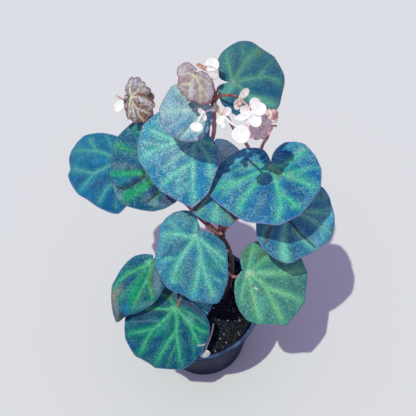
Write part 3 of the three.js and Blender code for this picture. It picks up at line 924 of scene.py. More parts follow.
    def build(self, under: Material) -> Piece:
        """Bends a disc into the blade, colours it and gives it its thickness.

        Args:
            under: Material of the underside.

        Returns:
            The piece.
        """
        bm, angle, share = self.spread()
        reach = self.reach(np.clip(angle, -LAST_ANGLE, LAST_ANGLE))
        r = reach * share
        x, y = r * np.cos(np.radians(angle)), r * np.sin(np.radians(angle))
        z = self.lift(x, y, share) - self.sag(y, r)
        for vert, spot in zip(bm.verts, np.stack([x, y, z], 1) * self.grow):
            vert.co = spot
        bm.transform(self.matrix())
        bm.normal_update()
        # How far each face leans towards the light, kept for the painted shade and painted glints.
        straight = self.matrix().to_3x3() @ Vector((0, 0, 1))
        lean = np.array([(vert.normal - straight).dot(SUNNY) for vert in bm.verts])
        inset = np.clip((reach - r) / INSET_REACH, 0, 1)
        pattern = np.stack([*self.lines(x, y, share), inset, np.clip(0.5 + self.lean_gain * lean, 0, 1)], 1)
        for layer_name, values in (("pattern", pattern), ("tint", self.tints(x, y))):
            layer = bm.verts.layers.float_color.new(layer_name)
            for vert, value in zip(bm.verts, values):
                vert[layer] = value
        name = self.node.replace("leaf", "blade")
        made = make_object(bm, name, self.tone.value.material(name), under)
        shell = made.modifiers.new("thickness", "SOLIDIFY")
        shell.thickness = self.thick * MM
        shell.offset = -1
        shell.material_offset = 1
        shell.material_offset_rim = 0
        return dressed(made, self.slot, self.node)


@dataclass
class GrownLeaf(Blade):
    """A grown blade with a wavy margin and with lumps and finer grain between its veins.

    Its number sets its waves and lumps off from those of the next blade.
    """

    number: int = 0
    faint_rise: float = 0.8
    wave: float = 0.6
    waves: int = 5
    wave_shift: int = 70
    lump: float = 0.45
    lump_size: float = 7.0
    lump_seed: float = 0.5
    grain: float = 0.12
    grain_size: float = 2.4
    grain_seed: float = 9.5
    lump_start: float = 2.0

    def lift(self, x: Values, y: Values, share: Values) -> Values:
        """Quilts the blade between its veins and waves its margin.

        Args:
            x: Distances along the midrib.
            y: Distances to the left of it.
            share: Shares of the way to the margin.

        Returns:
            The heights.
        """
        off = np.minimum(nearest(x, y, self.ribs), nearest(x, y, self.faint) + self.faint_rise)
        angle = np.degrees(np.arctan2(y, x))
        wave = self.wave * share**3 * np.cos(np.radians(self.waves * angle + self.wave_shift * self.number))
        lumps = self.lump * self.ripple(x, y, self.lump_size, self.number + self.lump_seed)
        grain = self.grain * self.ripple(x, y, self.grain_size, self.number + self.grain_seed)
        rough = (lumps + grain) * np.clip(share * self.lump_start, 0, 1)
        height = self.quilt(off, share) + wave + rough
        for stripe in self.stripes:
            if stripe.depth:
                height = height - stripe.groove(x, y)
        return height


@dataclass
class YoungLeaf(Blade):
    """A small young blade, crinkled between its veins, with a scalloped margin.

    Teeth is the number of its scallops and tooth their depth, as a share of the blade's reach.
    """

    segments: int = 210
    rings: int = 36
    slot: str = "young_leaf"
    thick: float = 0.5
    lean_gain: float = 0.9
    vein_scale: float = 0.65
    pucker: float = 1.2
    bed_width: float = 1.6
    bed_power: float = 1.5
    swell_start: float = 2.0
    swell_end: float = 1.3
    teeth: int = 17
    tooth: float = 0.05
    crinkle: float = 0.5
    crinkle_size: float = 2.2
    crinkle_seed: float = 2.5
    ruffle: float = 1.0
    ruffles: int = 6

    def reach(self, angle: Values) -> Values:
        """Scallops the margin."""
        scallop = 1 + self.tooth * (2 * np.abs(np.cos(np.radians(self.teeth * angle / 2))) - 1)
        return self.margin(angle) * scallop

    def lift(self, x: Values, y: Values, share: Values) -> Values:
        """Crinkles the blade between its veins and ruffles its margin.

        Args:
            x: Distances along the midrib.
            y: Distances to the left of it.
            share: Shares of the way to the margin.

        Returns:
            The heights.
        """
        quilt = self.quilt(nearest(x, y, self.ribs), share)
        folds = self.crinkle * self.ripple(x, y, self.crinkle_size, self.crinkle_seed)
        folds = folds * np.clip(share * self.swell_start, 0, 1)
        turn = np.radians(self.ruffles * np.degrees(np.arctan2(y, x)))
        return quilt + folds + self.ruffle * share**2 * np.cos(turn)


LEAVES = (
    GrownLeaf(
        "leaf_top_right", (48, 54, 310), 4, 15, 28, 0.1, 27.4,
        outline=(
            (-155, 13), (-118, 18), (-81, 26), (-53, 36), (-22, 39), (-10, 39), (3, 41.5), (13, 43),
            (33, 42.6), (46, 39), (62, 37.7), (76, 33.5), (90, 28), (105, 23.5), (119, 19.5), (155, 11),
        ),
        ribs=(
            ((0, 0), (-1.5, 8), (-3, 15), (-2.5, 24)),
            ((0, 0), (4, 6), (9, 14), (13, 19), (18, 24), (24, 30)),
            ((0, 0), (8, 2.5), (18, 4.5), (22, 7), (26, 13), (35, 21)),
            ((18, 4.5), (28, 6), (35, 4), (40, 1)), ((0, 0), (6, -4), (12, -10), (20, -11), (35, -15)),
        ),
        faint=(((9, 14), (9.5, 29)), ((0, 0), (-4, -7), (-8, -12)), ((20, -11), (30, -20))),
        patches=(
            Patch((25, 27), (6, 3), 50, Tint.OLIVE_AND_PAINTED_SHADE, 0.45), Patch((30, 14), (9, 6), 30, Tint.NAVY, 0.5),
            Patch((28, 0), (8, 4), 0, Tint.NAVY, 0.45), Patch((4, 14), (5, 9), 0, Tint.SLATE_AND_PAINTED_SHADE, 0.5),
            Patch((-5, -6), (8, 4), 45, Tint.MINT, 0.55), Patch((22, -13), (15, 3.5), -8, Tint.MINT, 0.55),
            Patch((0.3, 0.3), (2, 2), 0, Tint.ROSE, 0.6),
        ),
        tone=LeafTone.DUSK, number=0,
    ),
    GrownLeaf(
        "leaf_top_centre", (28, 42, 302), -176, 19, -26, 0.12, 20.5,
        outline=(
            (-150, 5), (-105, 12), (-65, 28), (-52, 34.4), (-35, 36.7), (-23, 39.2), (-10, 38.2), (7, 35.7),
            (30, 30.6), (53, 25), (65, 21), (105, 8), (150, 4.5),
        ),
        ribs=(
            ((0, 0), (8, -1), (15, -4), (24, -7.5), (35, -13)),
            ((0, 0), (9, 3), (15, 8.5), (21, 10.5), (31, 13)), ((6, -1), (13, -14), (19, -26)),
            ((3, 2), (9, 12), (15, 20)),
        ),
        faint=(((15, -4), (24, 2), (35, 1)), ((24, -7.5), (29, -18))),
        patches=(
            Patch((25, 4), (8, 3), 10, Tint.SKY, 0.55), Patch((17, -15), (3.5, 7), 25, Tint.SLATE_AND_PAINTED_SHADE, 0.4),
            # The dark green patch by the stalk is a painted shadow of young_leaf_top.
            Patch((9, -4.5), (5, 2.5), -30, Tint.PAINTED_GREEN_SHADE, 0.5),
        ),
        # The slate stripe is painted shade in the groove beside the vein.
        stripes=(Stripe(((11, 4.5), (17, 7.6), (29, 11.5)), 1.3, Tint.SLATE_AND_PAINTED_SHADE, 0.55, 0.4),),
        tone=LeafTone.PALE, number=1, corner=0.35,
    ),
    GrownLeaf(
        "leaf_centre_left", (17, 49, 262), -123, 29, -11, 0.12, 32.6,
        outline=(
            (-150, 21), (-118, 33), (-103, 37.8), (-95, 40.4), (-84, 45), (-62, 47.7), (-51, 49), (-40, 47),
            (-28, 47), (-14, 49), (-1, 49), (13, 51.8), (18, 52.8), (26, 47.4), (34, 43), (50, 31.5),
            (75, 25), (93, 17.5), (120, 11), (155, 15),
        ),
        ribs=(
            ((0, 0), (10, 2), (19, 5), (30, 9), (45, 16), (50, 17.5)),
            ((19, 4.5), (28, -4), (40, -11), (47, -13)),
            ((0, 0), (8, -13), (14, -22), (22, -30.5), (31, -39)), ((7, -12), (6.5, -28), (5, -43)),
            ((0, 0), (10, 14.6), (16, 17.5), (24, 23)), ((0, 0), (0.4, 8.7), (0, 18.5)),
        ),
        faint=(
            ((14, -22), (15, -32), (17, -43)), ((30, 9), (40, 3), (48, -3)), ((8, 1.6), (17, -8), (30, -16)),
        ),
        patches=(
            Patch((30, 16), (15, 4.5), 18, Tint.SKY, 0.6), Patch((43, -4), (6, 3), -20, Tint.SKY, 0.5),
            Patch((25, -23), (8, 4), -50, Tint.SKY, 0.45), Patch((8, -40), (14, 3), -8, Tint.SKY, 0.7),
            Patch((18, -13), (11, 8), -45, Tint.MIST, 0.35), Patch((15, -30), (6, 3), 60, Tint.SLATE_AND_PAINTED_SHADE, 0.5),
            Patch((36, 1), (10, 3.5), 10, Tint.MINT, 0.4),
        ),
        tone=LeafTone.AQUA, number=2, corner=0.7,
    ),
    GrownLeaf(
        "leaf_mid_left", (-10, 57, 232), 173, 16, -23, 0.12, 43.6,
        outline=(
            (-150, 29), (-110, 37), (-68, 51), (-52, 53.4), (-39, 56), (-29, 58.4), (-20, 55.5), (-9, 54.5),
            (2, 55.6), (14, 54.2), (25, 54.8), (31, 53.5), (39, 50), (51, 46), (65, 43), (79, 39.5), (95, 36),
            (150, 27),
        ),
        ribs=(
            ((0, 0), (10, 6), (19.5, 8.5), (31, 4.8), (46, 1)),
            ((0, 0), (17, 15), (27, 21), (41, 25.4), (50, 27)),
            ((0, 0), (14, -7), (27, -13.4), (39, -20.6), (50, -28)), ((10, -12), (23, -31), (32, -42)),
        ),
        faint=(((31, 4.8), (42, 9), (53, 10)), ((4, 16), (14, 32), (20, 40))),
        patches=(
            Patch((42, -23), (12, 2.6), -35, Tint.EMERALD, 0.5),
            Patch((26, -14), (9, 4), -35, Tint.NAVY, 0.5), Patch((38, -9), (15, 4), -20, Tint.NAVY, 0.5),
            Patch((31, -26), (8, 4), -35, Tint.NAVY, 0.7), Patch((38, -3.6), (15, 2.8), -20, Tint.TAN, 0.2),
            Patch((30, 9), (11, 3.2), -6, Tint.NAVY, 0.5), Patch((44, 8), (7, 3), 0, Tint.SKY, 0.4),
            Patch((14, 22), (5, 4.6), 60, Tint.NAVY, 0.75), Patch((48, 20), (6, 3), -30, Tint.MIST, 0.5),
            Patch((16, 32), (10, 3.4), -30, Tint.MIST, 0.35), Patch((53, 13), (5, 2.4), -60, Tint.MIST, 0.5),
            # The plum patch is a painted shadow of leaf_centre_left.
            Patch((2, 34), (6, 8), 0, Tint.PLUM_AND_PAINTED_SHADE, 0.75),
        ),
        stripes=(
            Stripe(((54.3, -0.6), (37.4, 3.8), (21.7, 5.6)), 2.2, Tint.EMERALD, 0.7),
            Stripe(((42, 21.6), (31, 19.6), (21, 17.6), (16, 15.8)), 3.6, Tint.EMERALD, 0.75),
            # The dark brown stripes are painted shade in the grooves and a painted shadow of a leaf above.
            Stripe(
                ((20, 8.2), (24.1, 11.2), (29.1, 13.1), (36.7, 15.4), (42.9, 15.1), (49.8, 11.2)), 1.3,
                Tint.PAINTED_DARK_SHADE, 0.9, 1.2,
            ),
            Stripe(((11, 24.8), (15.9, 27.7), (22.3, 30.7)), 1.2, Tint.PAINTED_DARK_SHADE, 0.85, 1.0),
            Stripe(((10, 29), (14, 20), (19, 12), (22, 4)), 1.6, Tint.PAINTED_DARK_SHADE, 0.6, 0.4),
        ),
        fold=0.08, tone=LeafTone.EMERALD, number=3, pucker=1.8,
    ),
    GrownLeaf(
        "leaf_far_left", (-51, 81, 212), 170, 15, -20, 0.12, 38,
        outline=(
            (-155, 19), (-105, 19), (-81, 23), (-58, 33.7), (-39, 50.3), (-30, 55.7), (-21, 58.7),
            (-14, 59.2), (-7, 56.2), (-1, 54.6), (3, 57.3), (17, 53.5), (28, 50.8), (41, 46.4), (57, 45.8),
            (78, 47.4), (85, 47.6), (94, 43), (120, 32), (155, 23),
        ),
        ribs=(
            ((0, 0), (10.5, 4.5), (17.6, 6.6), (26.3, 8.8), (33, 14.2), (43, 21.5)),
            ((26.3, 8.8), (36, 5), (45, 0.7), (54, -2)),
            ((0, 0), (9, -4.2), (15.4, -8.6), (23, -11.8), (34, -14.6), (45, -18.4), (52, -21)),
            ((23, -11.5), (27, -17.5), (32, -25.5)), ((2, 14), (9, 21.3), (15.4, 26.2), (23, 35)),
        ),
        faint=(((2, -8), (8, -15), (11, -19.5), (15, -26)), ((4, 32), (5.6, 42))),
        patches=(
            Patch((40, 10), (10, 4), 32, Tint.NAVY, 0.45), Patch((20, -1), (10, 3.5), 0, Tint.SKY, 0.3),
            Patch((34, 24), (9, 5), -35, Tint.SKY, 0.3), Patch((20, 18), (9, 4), 35, Tint.SLATE_AND_PAINTED_SHADE, 0.35),
            Patch((8, 33), (5, 8), 0, Tint.NAVY, 0.3),
        ),
        tone=LeafTone.SAPPHIRE, number=4,
    ),
    GrownLeaf(
        "leaf_right", (73, 31, 240), -94, 5, 0, 0.1, 39.7,
        outline=(
            (-153, 20), (-134, 27.6), (-112, 35.4), (-97, 42.5), (-87, 46.4), (-69, 53), (-60, 51.5),
            (-49, 50), (-28, 50.3), (-11, 49), (2, 50), (23, 46), (34, 43.5), (51, 41.3), (58, 41.8),
            (84, 38.8), (106, 36.6), (125, 35.2), (138, 30.7), (151, 25), (165, 16),
        ),
        ribs=(
            ((0, 0), (4.4, -8), (9, -20), (12.7, -30.4), (16, -49)),
            ((5, -6), (14, -13), (27, -24), (40, -31)), ((0, 0), (11.5, 1.5), (26, 4), (37.5, 3.3), (49, 0)),
            ((24, 3.6), (31.6, 12), (38, 19)), ((0, 0), (8, 7.5), (12.7, 17), (18.6, 27.6), (23, 34)),
            ((0, 0), (1, 8.6), (-5, 15.7), (-12, 25), (-17, 30)),
        ),
        faint=(
            ((0, 0), (-5, -18.6), (-10, -31)), ((0, 0), (-0.4, -23), (1, -30)), ((12.7, -30.4), (6, -44)),
            ((12.7, -30.4), (24, -42)), ((8, 12), (4, 26), (2, 36)),
        ),
        patches=(
            Patch((8, 18), (10, 6), 65, Tint.EMERALD, 0.5), Patch((24, 16), (12, 5), 32, Tint.NAVY, 0.6),
            Patch((34, 14), (6, 3), 45, Tint.EMERALD, 0.4), Patch((30, -9), (14, 3.2), -25, Tint.SLATE_AND_PAINTED_SHADE, 0.5),
            Patch((3, -26), (7, 5), 70, Tint.NAVY, 0.4), Patch((20, -27), (8, 4), -60, Tint.NAVY, 0.3),
            # The olive patch beside the stalk is a painted shadow of the flowers above.
            Patch((7, 4), (6, 4), 10, Tint.OLIVE_AND_PAINTED_SHADE, 0.6), Patch((1.2, -0.8), (2.2, 1.6), 0, Tint.ROSE, 0.9),
            # The pale cyan patches on the back left are painted light where leaf_centre_left shades the
            # blade.
            Patch((-14, 24), (8, 2), -55, Tint.MIST, 0.5), Patch((-13, -24), (7, 13), 10, Tint.PAINTED_CYAN_LIGHT, 0.6),
            Patch((-2, -17), (4, 5), 0, Tint.MIST, 0.35), Patch((14, -30), (7, 4), 60, Tint.MINT, 0.5),
            Patch((4, -37), (5, 5), 0, Tint.PAINTED_CYAN_LIGHT, 0.3), Patch((9.6, 13.5), (4, 4), 0, Tint.MIST, 0.25),
        ),
        tone=LeafTone.LAGOON, number=5, corner=0.6, pucker=1.8,
    ),
    GrownLeaf(
        "leaf_right_shaded", (81, 13, 200), -45, 25, 0, 0.12, 36.6,
        outline=(
            (-155, 21), (-106, 28), (-93, 32.7), (-77, 36), (-60, 38.8), (-45, 41.4), (-37, 41), (-29, 39.3),
            (-13, 39.8), (-2, 41), (10, 43.7), (19, 47.2), (26, 48.7), (37, 49.4), (49, 49.8), (58, 49),
            (66, 50.3), (75, 50), (105, 40), (150, 26),
        ),
        ribs=(
            ((0, 0), (11.3, 9.8), (19, 13.2), (28, 16.5), (41, 21)),
            ((0, 0), (8, -8), (14.6, -18), (26, -30)), ((14, 16), (23.6, 26.6), (32, 36)),
            ((16, -5), (28, -4.6), (39, -3.4)),
        ),
        faint=(
            ((28, 16), (37, 10.4), (43, 9)), ((0, -10), (-2, -24), (2, -33)), ((8, 20), (15, 36), (17, 45)),
        ),
        patches=(
            # The pale cyan patches on the outer side are painted light where leaf_right shades the blade.
            Patch((24, -26), (16, 5), -35, Tint.MINT, 0.7), Patch((34, 26), (4, 12), 10, Tint.PAINTED_CYAN_LIGHT, 0.5),
            Patch((37, 6), (5, 9), 0, Tint.PAINTED_CYAN_LIGHT, 0.35), Patch((35, 3), (5, 4), 0, Tint.MIST, 0.3),
            Patch((8, 22), (6, 16), 10, Tint.PLUM_AND_PAINTED_SHADE, 0.4), Patch((16, -6), (1.9, 1.1), 60, Tint.TAN, 0.95),
            Patch((15, 40), (1.3, 4), 10, Tint.BROWN_AND_PAINTED_SHADE, 0.7),
        ),
        stripes=(
            # The dark grooved stripes are painted shade in the creases.
            Stripe(((6, -2), (19, -3), (28, -2.5), (39, -0.8)), 0.9, Tint.PAINTED_DARK_SHADE, 0.85, 0.9),
            Stripe(((28, 17.8), (34, 19.8), (41, 23)), 0.6, Tint.PAINTED_CREASE_SHADE, 0.7, 0.6),
            Stripe(((24, 28), (32, 38)), 0.6, Tint.PAINTED_CREASE_SHADE, 0.6, 0.5),
            Stripe(((21, -19.6), (27, -18.4), (35, -18.6)), 0.6, Tint.PAINTED_CREASE_SHADE, 0.6, 0.5),
            # The brown stripe is a painted shadow of a stalk.
            Stripe(((-1, -17), (2, -23), (5, -29)), 1.5, Tint.BROWN_AND_PAINTED_SHADE, 0.85, 0.6),
        ),
        tone=LeafTone.INDIGO, number=6,
    ),
    GrownLeaf(
        "leaf_lower_right", (45, -18, 166), -13, 21, 19, 0.1, 39.2,
        outline=(
            (-155, 5), (-127, 12.7), (-109, 20), (-97, 27), (-86, 34.5), (-74, 42), (-62, 46.7), (-48, 51),
            (-37, 59.6), (-28, 59.5), (-11, 62.5), (0, 60.5), (14, 61), (27, 56.8), (41, 54), (66, 40),
            (90, 25.5), (102, 21), (117, 15.7), (133, 10.2), (155, 5),
        ),
        ribs=(
            ((2, -1), (12, -4), (20, -8), (27, -9.5), (45, -10), (59, -12)), ((20, -8), (31, -21), (44, -34)),
            ((2, -1), (5.6, -8), (10, -18), (14.4, -25.6), (22, -37)),
            ((2, -1), (21, 4), (37.5, 8.5), (55, 15)),
        ),
        faint=(((2, -1), (13, 14), (20, 21)), ((2, -1), (1.2, 17), (3.4, 25)), ((2, -1), (0, -14), (1, -27))),
        patches=(
            Patch((-3, 16), (3, 8), -10, Tint.OLIVE_AND_PAINTED_SHADE, 0.5), Patch((11, 18), (6, 3), 55, Tint.OLIVE_AND_PAINTED_SHADE, 0.4),
            Patch((12, -25), (1.6, 11), 28, Tint.OLIVE_AND_PAINTED_SHADE, 0.5),
            Patch((34, -24), (11, 1.5), -48, Tint.OLIVE_AND_PAINTED_SHADE, 0.5), Patch((3.5, -1), (4, 3), 0, Tint.CREAM, 0.6),
            Patch((48, -3), (9, 12), 0, Tint.SLATE_AND_PAINTED_SHADE, 0.25), Patch((19, -24), (8, 6), -50, Tint.MINT, 0.3),
            Patch((14, 2), (12, 3), 15, Tint.MINT, 0.3), Patch((43, -15.5), (1.2, 1.2), 0, Tint.CREAM, 0.5),
        ),
        stripes=(
            Stripe(((10.8, -12), (13.4, -12.5)), 0.8, Tint.CREAM, 1.0),
            Stripe(((8.6, -11.4), (10, -11.8)), 0.6, Tint.BROWN_AND_PAINTED_SHADE, 0.9),
        ),
        tone=LeafTone.MEADOW, number=7, corner=0.9, grow=0.965, pucker=1.2,
    ),
    GrownLeaf(
        "leaf_centre_under", (28.4, 27, 228), -93, 24, -1, 0.1, 23.1,
        outline=(
            (-150, 7), (-110, 9), (-75, 20), (-45, 30), (-20, 31), (0, 32.5), (12, 35.4), (19, 35.3),
            (26, 32.8), (50, 24), (80, 17), (115, 9), (150, 7),
        ),
        ribs=(((0, 0), (16, 0), (30, -4)), ((0, 0), (16, 6), (33, 12)), ((0, 0), (12, -10), (24, -20))),
        patches=(Patch((15, -6), (5, 4), 0, Tint.SKY, 0.6), Patch((25, -2), (7, 7), 0, Tint.MINT, 0.35)),
        stripes=(
            # The brown stripes are painted shadows of the leaves above.
            Stripe(((2, -6), (10, -13.5), (20, -23)), 5.4, Tint.BROWN_AND_PAINTED_SHADE, 0.85),
            Stripe(((18, 8.5), (27, 12.5), (35, 16)), 4.2, Tint.BROWN_AND_PAINTED_SHADE, 0.85),
        ),
        tone=LeafTone.TEAL, number=8, corner=0.6, grow=0.94,
    ),
    GrownLeaf(
        "leaf_centre_back", (38, 45, 226), 78, -29, 9, 0.08, 15.6,
        outline=(
            (-150, 9), (-110, 13), (-75, 16), (-40, 19), (0, 24), (20, 26), (45, 20), (75, 12), (110, 9),
            (150, 8),
        ),
        ribs=(((0, 0), (12, 1), (24, 3)), ((0, 0), (12, -6), (20, -10))),
        patches=(Patch((13, 3), (4, 3), 0, Tint.MINT, 0.4),),
        tone=LeafTone.CYAN_PAINTED_LIGHT, number=9,
    ),
    GrownLeaf(
        "leaf_lower_centre", (7, 9, 188), -146, 25, -28, 0.1, 36,
        outline=(
            (-157, 9.5), (-141, 15.4), (-127, 20.6), (-110, 23.4), (-93, 26.4), (-77, 28.7), (-62, 30.6),
            (-47, 31), (-33, 33), (-22, 38.2), (-12, 43), (-2, 45), (12, 51), (20, 52), (30, 52.4),
            (38, 56.5), (48, 58.5), (56, 61), (60, 61.2), (67, 55), (78, 46), (90, 36), (103, 30),
            (114, 25.8), (128, 18.7), (144, 12), (165, 8),
        ),
        ribs=(
            ((0, 0), (0, 16), (-1, 32)), ((0, 0), (5.4, 9.3), (12, 17), (17.6, 25), (22, 32.7), (29.5, 46)),
            ((11, 15.4), (23, 22.6), (33, 28.2), (43, 34)),
            ((0, 0), (6.5, 1.5), (17.6, 2.6), (29, 4.8), (42, 11)),
            ((0, 0), (4.2, -3), (7.6, -9.7), (13.2, -16.4), (20.5, -24)),
        ),
        faint=(
            ((17.6, 27), (15.4, 42)), ((23, 3), (31, -5.2), (41, -9)), ((0, 0), (-8, -7.5)),
            ((7, -12), (5.4, -19), (6, -26)), ((2, 16), (7, 38)),
        ),
        patches=(
            Patch((34, 12), (9, 4.4), 15, Tint.EMERALD, 0.45), Patch((38, 35), (6, 3.4), -45, Tint.SKY, 0.5),
            Patch((-8, 15), (3, 8), 0, Tint.NAVY, 0.5), Patch((18, -5), (11, 4.4), -22, Tint.SLATE_AND_PAINTED_SHADE, 0.5),
            Patch((14, -24), (14, 3), 12, Tint.SKY, 0.4), Patch((40, -6), (9, 3), 40, Tint.SKY, 0.4),
            Patch((10, 27), (6, 9), 10, Tint.EMERALD, 0.3), Patch((26, 15), (10, 3.4), 40, Tint.SLATE_AND_PAINTED_SHADE, 0.4),
            Patch((-7, -12), (4, 5), 0, Tint.SLATE_AND_PAINTED_SHADE, 0.5), Patch((44, -1.2), (0.9, 0.9), 0, Tint.CREAM, 1.0),
            Patch((0.4, 0.2), (1.6, 1.2), 0, Tint.CREAM, 0.85),
        ),
        tone=LeafTone.TEAL, number=10, corner=0.7, pucker=1.8,
    ),
    GrownLeaf(
        "leaf_lower_left", (-33, 2, 166), -135, 33, -21, 0.08, 27.3,
        outline=(
            (-134, 6.5), (-97, 10.5), (-76, 16), (-58, 22.4), (-45, 29.4), (-35, 36.8), (-29, 43.7),
            (-23, 48), (-15, 54.5), (-9, 60), (-4, 64.5), (-1, 66.5), (2, 58), (5, 53.5), (10, 50.7),
            (16, 46), (22, 42), (28, 38.5), (35, 34.2), (53, 24.7), (75, 19), (110, 12), (150, 8),
        ),
        ribs=(
            ((0, 0), (6.4, 1.8), (16.2, 3.9), (25.7, 3.9), (40.3, 4.6), (48, 5)),
            ((16.2, 3.9), (22.9, 10.4), (29.5, 16)),
            ((0, 0), (9, -5.1), (21.2, -13.3), (32.9, -17.8), (40.8, -19.1)),
        ),
        faint=(((8.1, -1.4), (24.4, -5.3), (37.1, -8.3), (48, -10)),),
        patches=(
            Patch((26.5, -10), (10, 3.2), -20, Tint.NAVY, 0.75),
            Patch((8.5, -12), (7, 3), -42, Tint.NAVY, 0.6), Patch((33, 0), (11, 4.4), 0, Tint.EMERALD, 0.75),
            Patch((19, -1.2), (9, 2.2), -8, Tint.EMERALD, 0.5),
            Patch((13, 12), (13, 3.6), 30, Tint.MIST, 0.42), Patch((38, 12), (8, 3), -30, Tint.MINT, 0.35),
            Patch((42, -14.5), (10, 3.4), -12, Tint.TAN, 0.65), Patch((51, -11), (13, 3), 38, Tint.TAN, 0.6),
            Patch((1.5, -1.5), (4, 3), -20, Tint.MINT, 0.7), Patch((49, 0), (6, 4), 0, Tint.SKY, 0.45),
            # The dark brown patch at the tip is painted shade on the drooping end.
            Patch((58.5, 1), (5, 3.6), 10, Tint.PAINTED_DARK_SHADE, 0.95), Patch((64, -3), (4, 1.6), 40, Tint.OLIVE_AND_PAINTED_SHADE, 0.8),
        ),
        stripes=(
            Stripe(((0.8, 1), (13.7, 5), (19.7, 9), (26.8, 15)), 1.2, Tint.OLIVE_AND_PAINTED_SHADE, 0.9, 1.0),
            # The dark grooved stripes are painted shade in the creases.
            Stripe(((25, 5.6), (33, 6.2), (40.3, 6.4)), 0.7, Tint.BROWN_AND_PAINTED_SHADE, 0.8, 0.6),
            Stripe(((10, -4.2), (21.5, -11.9), (32, -16.4)), 0.6, Tint.BROWN_AND_PAINTED_SHADE, 0.6, 0.6),
            Stripe(((12, -2), (24.4, -4.6), (37, -7.4)), 0.5, Tint.PAINTED_CREASE_SHADE, 0.6, 0.5),
            Stripe(((33, 16.8), (36, 17.4)), 0.8, Tint.TAN, 1.0),
        ),
        fold=0.2, tone=LeafTone.JADE, number=11,
    ),
    GrownLeaf(
        "leaf_front", (-19, -20, 125), -124, 23, -19, 0.12, 39.4,
        outline=(
            (-155, 17), (-106, 27), (-58, 44), (-49, 46.8), (-40, 50.3), (-31, 54), (-20, 56.4), (-13, 58.2),
            (-8, 57.2), (1, 57.6), (6.5, 59.4), (16, 58.2), (25, 58.2), (31, 58.5), (38, 55.8), (46, 52.3),
            (55, 48.3), (64, 44.2), (74, 40.5), (83, 36), (92, 30), (110, 18), (155, 12),
        ),
        ribs=(
            ((3, 1), (12, 7), (21.6, 10.4), (30, 15.8), (41, 23), (48, 28)),
            ((21.6, 10.4), (32, 8.3), (43, 6.7), (57, 6)),
            ((3, 0), (12, -1.6), (19.5, -4.6), (28, -9), (38, -10.4), (48, -10), (56, -12)),
            ((27, -8.4), (32.4, -15.4), (41, -27)), ((3, 2), (5.5, 8.3), (9.8, 18), (16, 24.4), (23, 33)),
            ((10, 18), (12, 30), (11.4, 38)), ((3, -1), (6.6, -4), (9.8, -12.2), (14.5, -22)),
        ),
        faint=(
            ((2, 2), (1.5, 10), (3, 24), (6, 34)), ((0, 0), (-3, -8), (-3, -15)),
            ((30, 15.8), (44, 15), (55, 17)), ((16, 24.4), (28, 30), (38, 36)),
        ),
        patches=(
            Patch((20, 2), (16, 3), 10, Tint.EMERALD, 0.3), Patch((36, 28), (10, 6), -30, Tint.NAVY, 0.35),
            Patch((36, -2), (12, 3), 0, Tint.NAVY, 0.45), Patch((44, 12), (9, 3), 0, Tint.NAVY, 0.35),
            # The dark green patch left of the stalk is painted shade.
            Patch((-5, -8), (5, 6), 0, Tint.PAINTED_GREEN_SHADE, 0.6), Patch((3.6, 1), (3, 2.4), 0, Tint.MINT, 0.7),
            Patch((46, -20), (6, 8), 30, Tint.NAVY, 0.3), Patch((2, 24), (3, 8), 0, Tint.SLATE_AND_PAINTED_SHADE, 0.3),
            Patch((38, -9), (7, 4), 0, Tint.PINE, 0.45), Patch((39, -20), (6, 5), 0, Tint.PINE, 0.5),
            Patch((26, -3), (8, 3), -10, Tint.EMERALD, 0.5), Patch((7, 17), (5, 5), 0, Tint.MINT, 0.45),
        ),
        stripes=(
            Stripe(((-4, 5), (-5, 12), (-2.5, 24)), 1.6, Tint.PLUM_AND_PAINTED_SHADE, 0.8, 0.8),
            Stripe(((-9.5, 1), (-0.8, 2), (3.2, 2.2)), 1.2, Tint.RUST, 0.85),
            # The dark blue band is a painted shadow of leaf_lower_left.
            Stripe(((9, -8), (17, -16), (25, -26), (28, -34)), 4.8, Tint.PAINTED_BLUE_SHADOW, 0.8),
            Stripe(((19, -7), (23, -16), (31, -30)), 0.7, Tint.MIST, 0.25),
            Stripe(((21.4, 39), (23.6, 36), (25, 33.4)), 0.6, Tint.CREAM, 0.95),
        ),
        tone=LeafTone.JADE, number=12, corner=0.8, notch_width=17,
    ),
    GrownLeaf(
        "leaf_front_small", (-7, -6, 106), -31, 22, 22, 0.1, 18.2,
        outline=(
            (-150, 12), (-110, 15), (-75, 20), (-40, 25), (0, 23), (40, 23), (75, 19), (110, 15), (150, 12),
        ),
        ribs=(((0, 0), (12, 2), (23, 0)), ((0, 0), (10, -9), (18, -15)), ((0, 0), (9, 10), (16, 15))),
        # The pale cyan patch is painted light over the blade, which lies in shade.
        patches=(Patch((14, -2), (14, 14), 0, Tint.PAINTED_CYAN_LIGHT, 0.6),),
        tone=LeafTone.LAGOON, number=13,
    ),
)

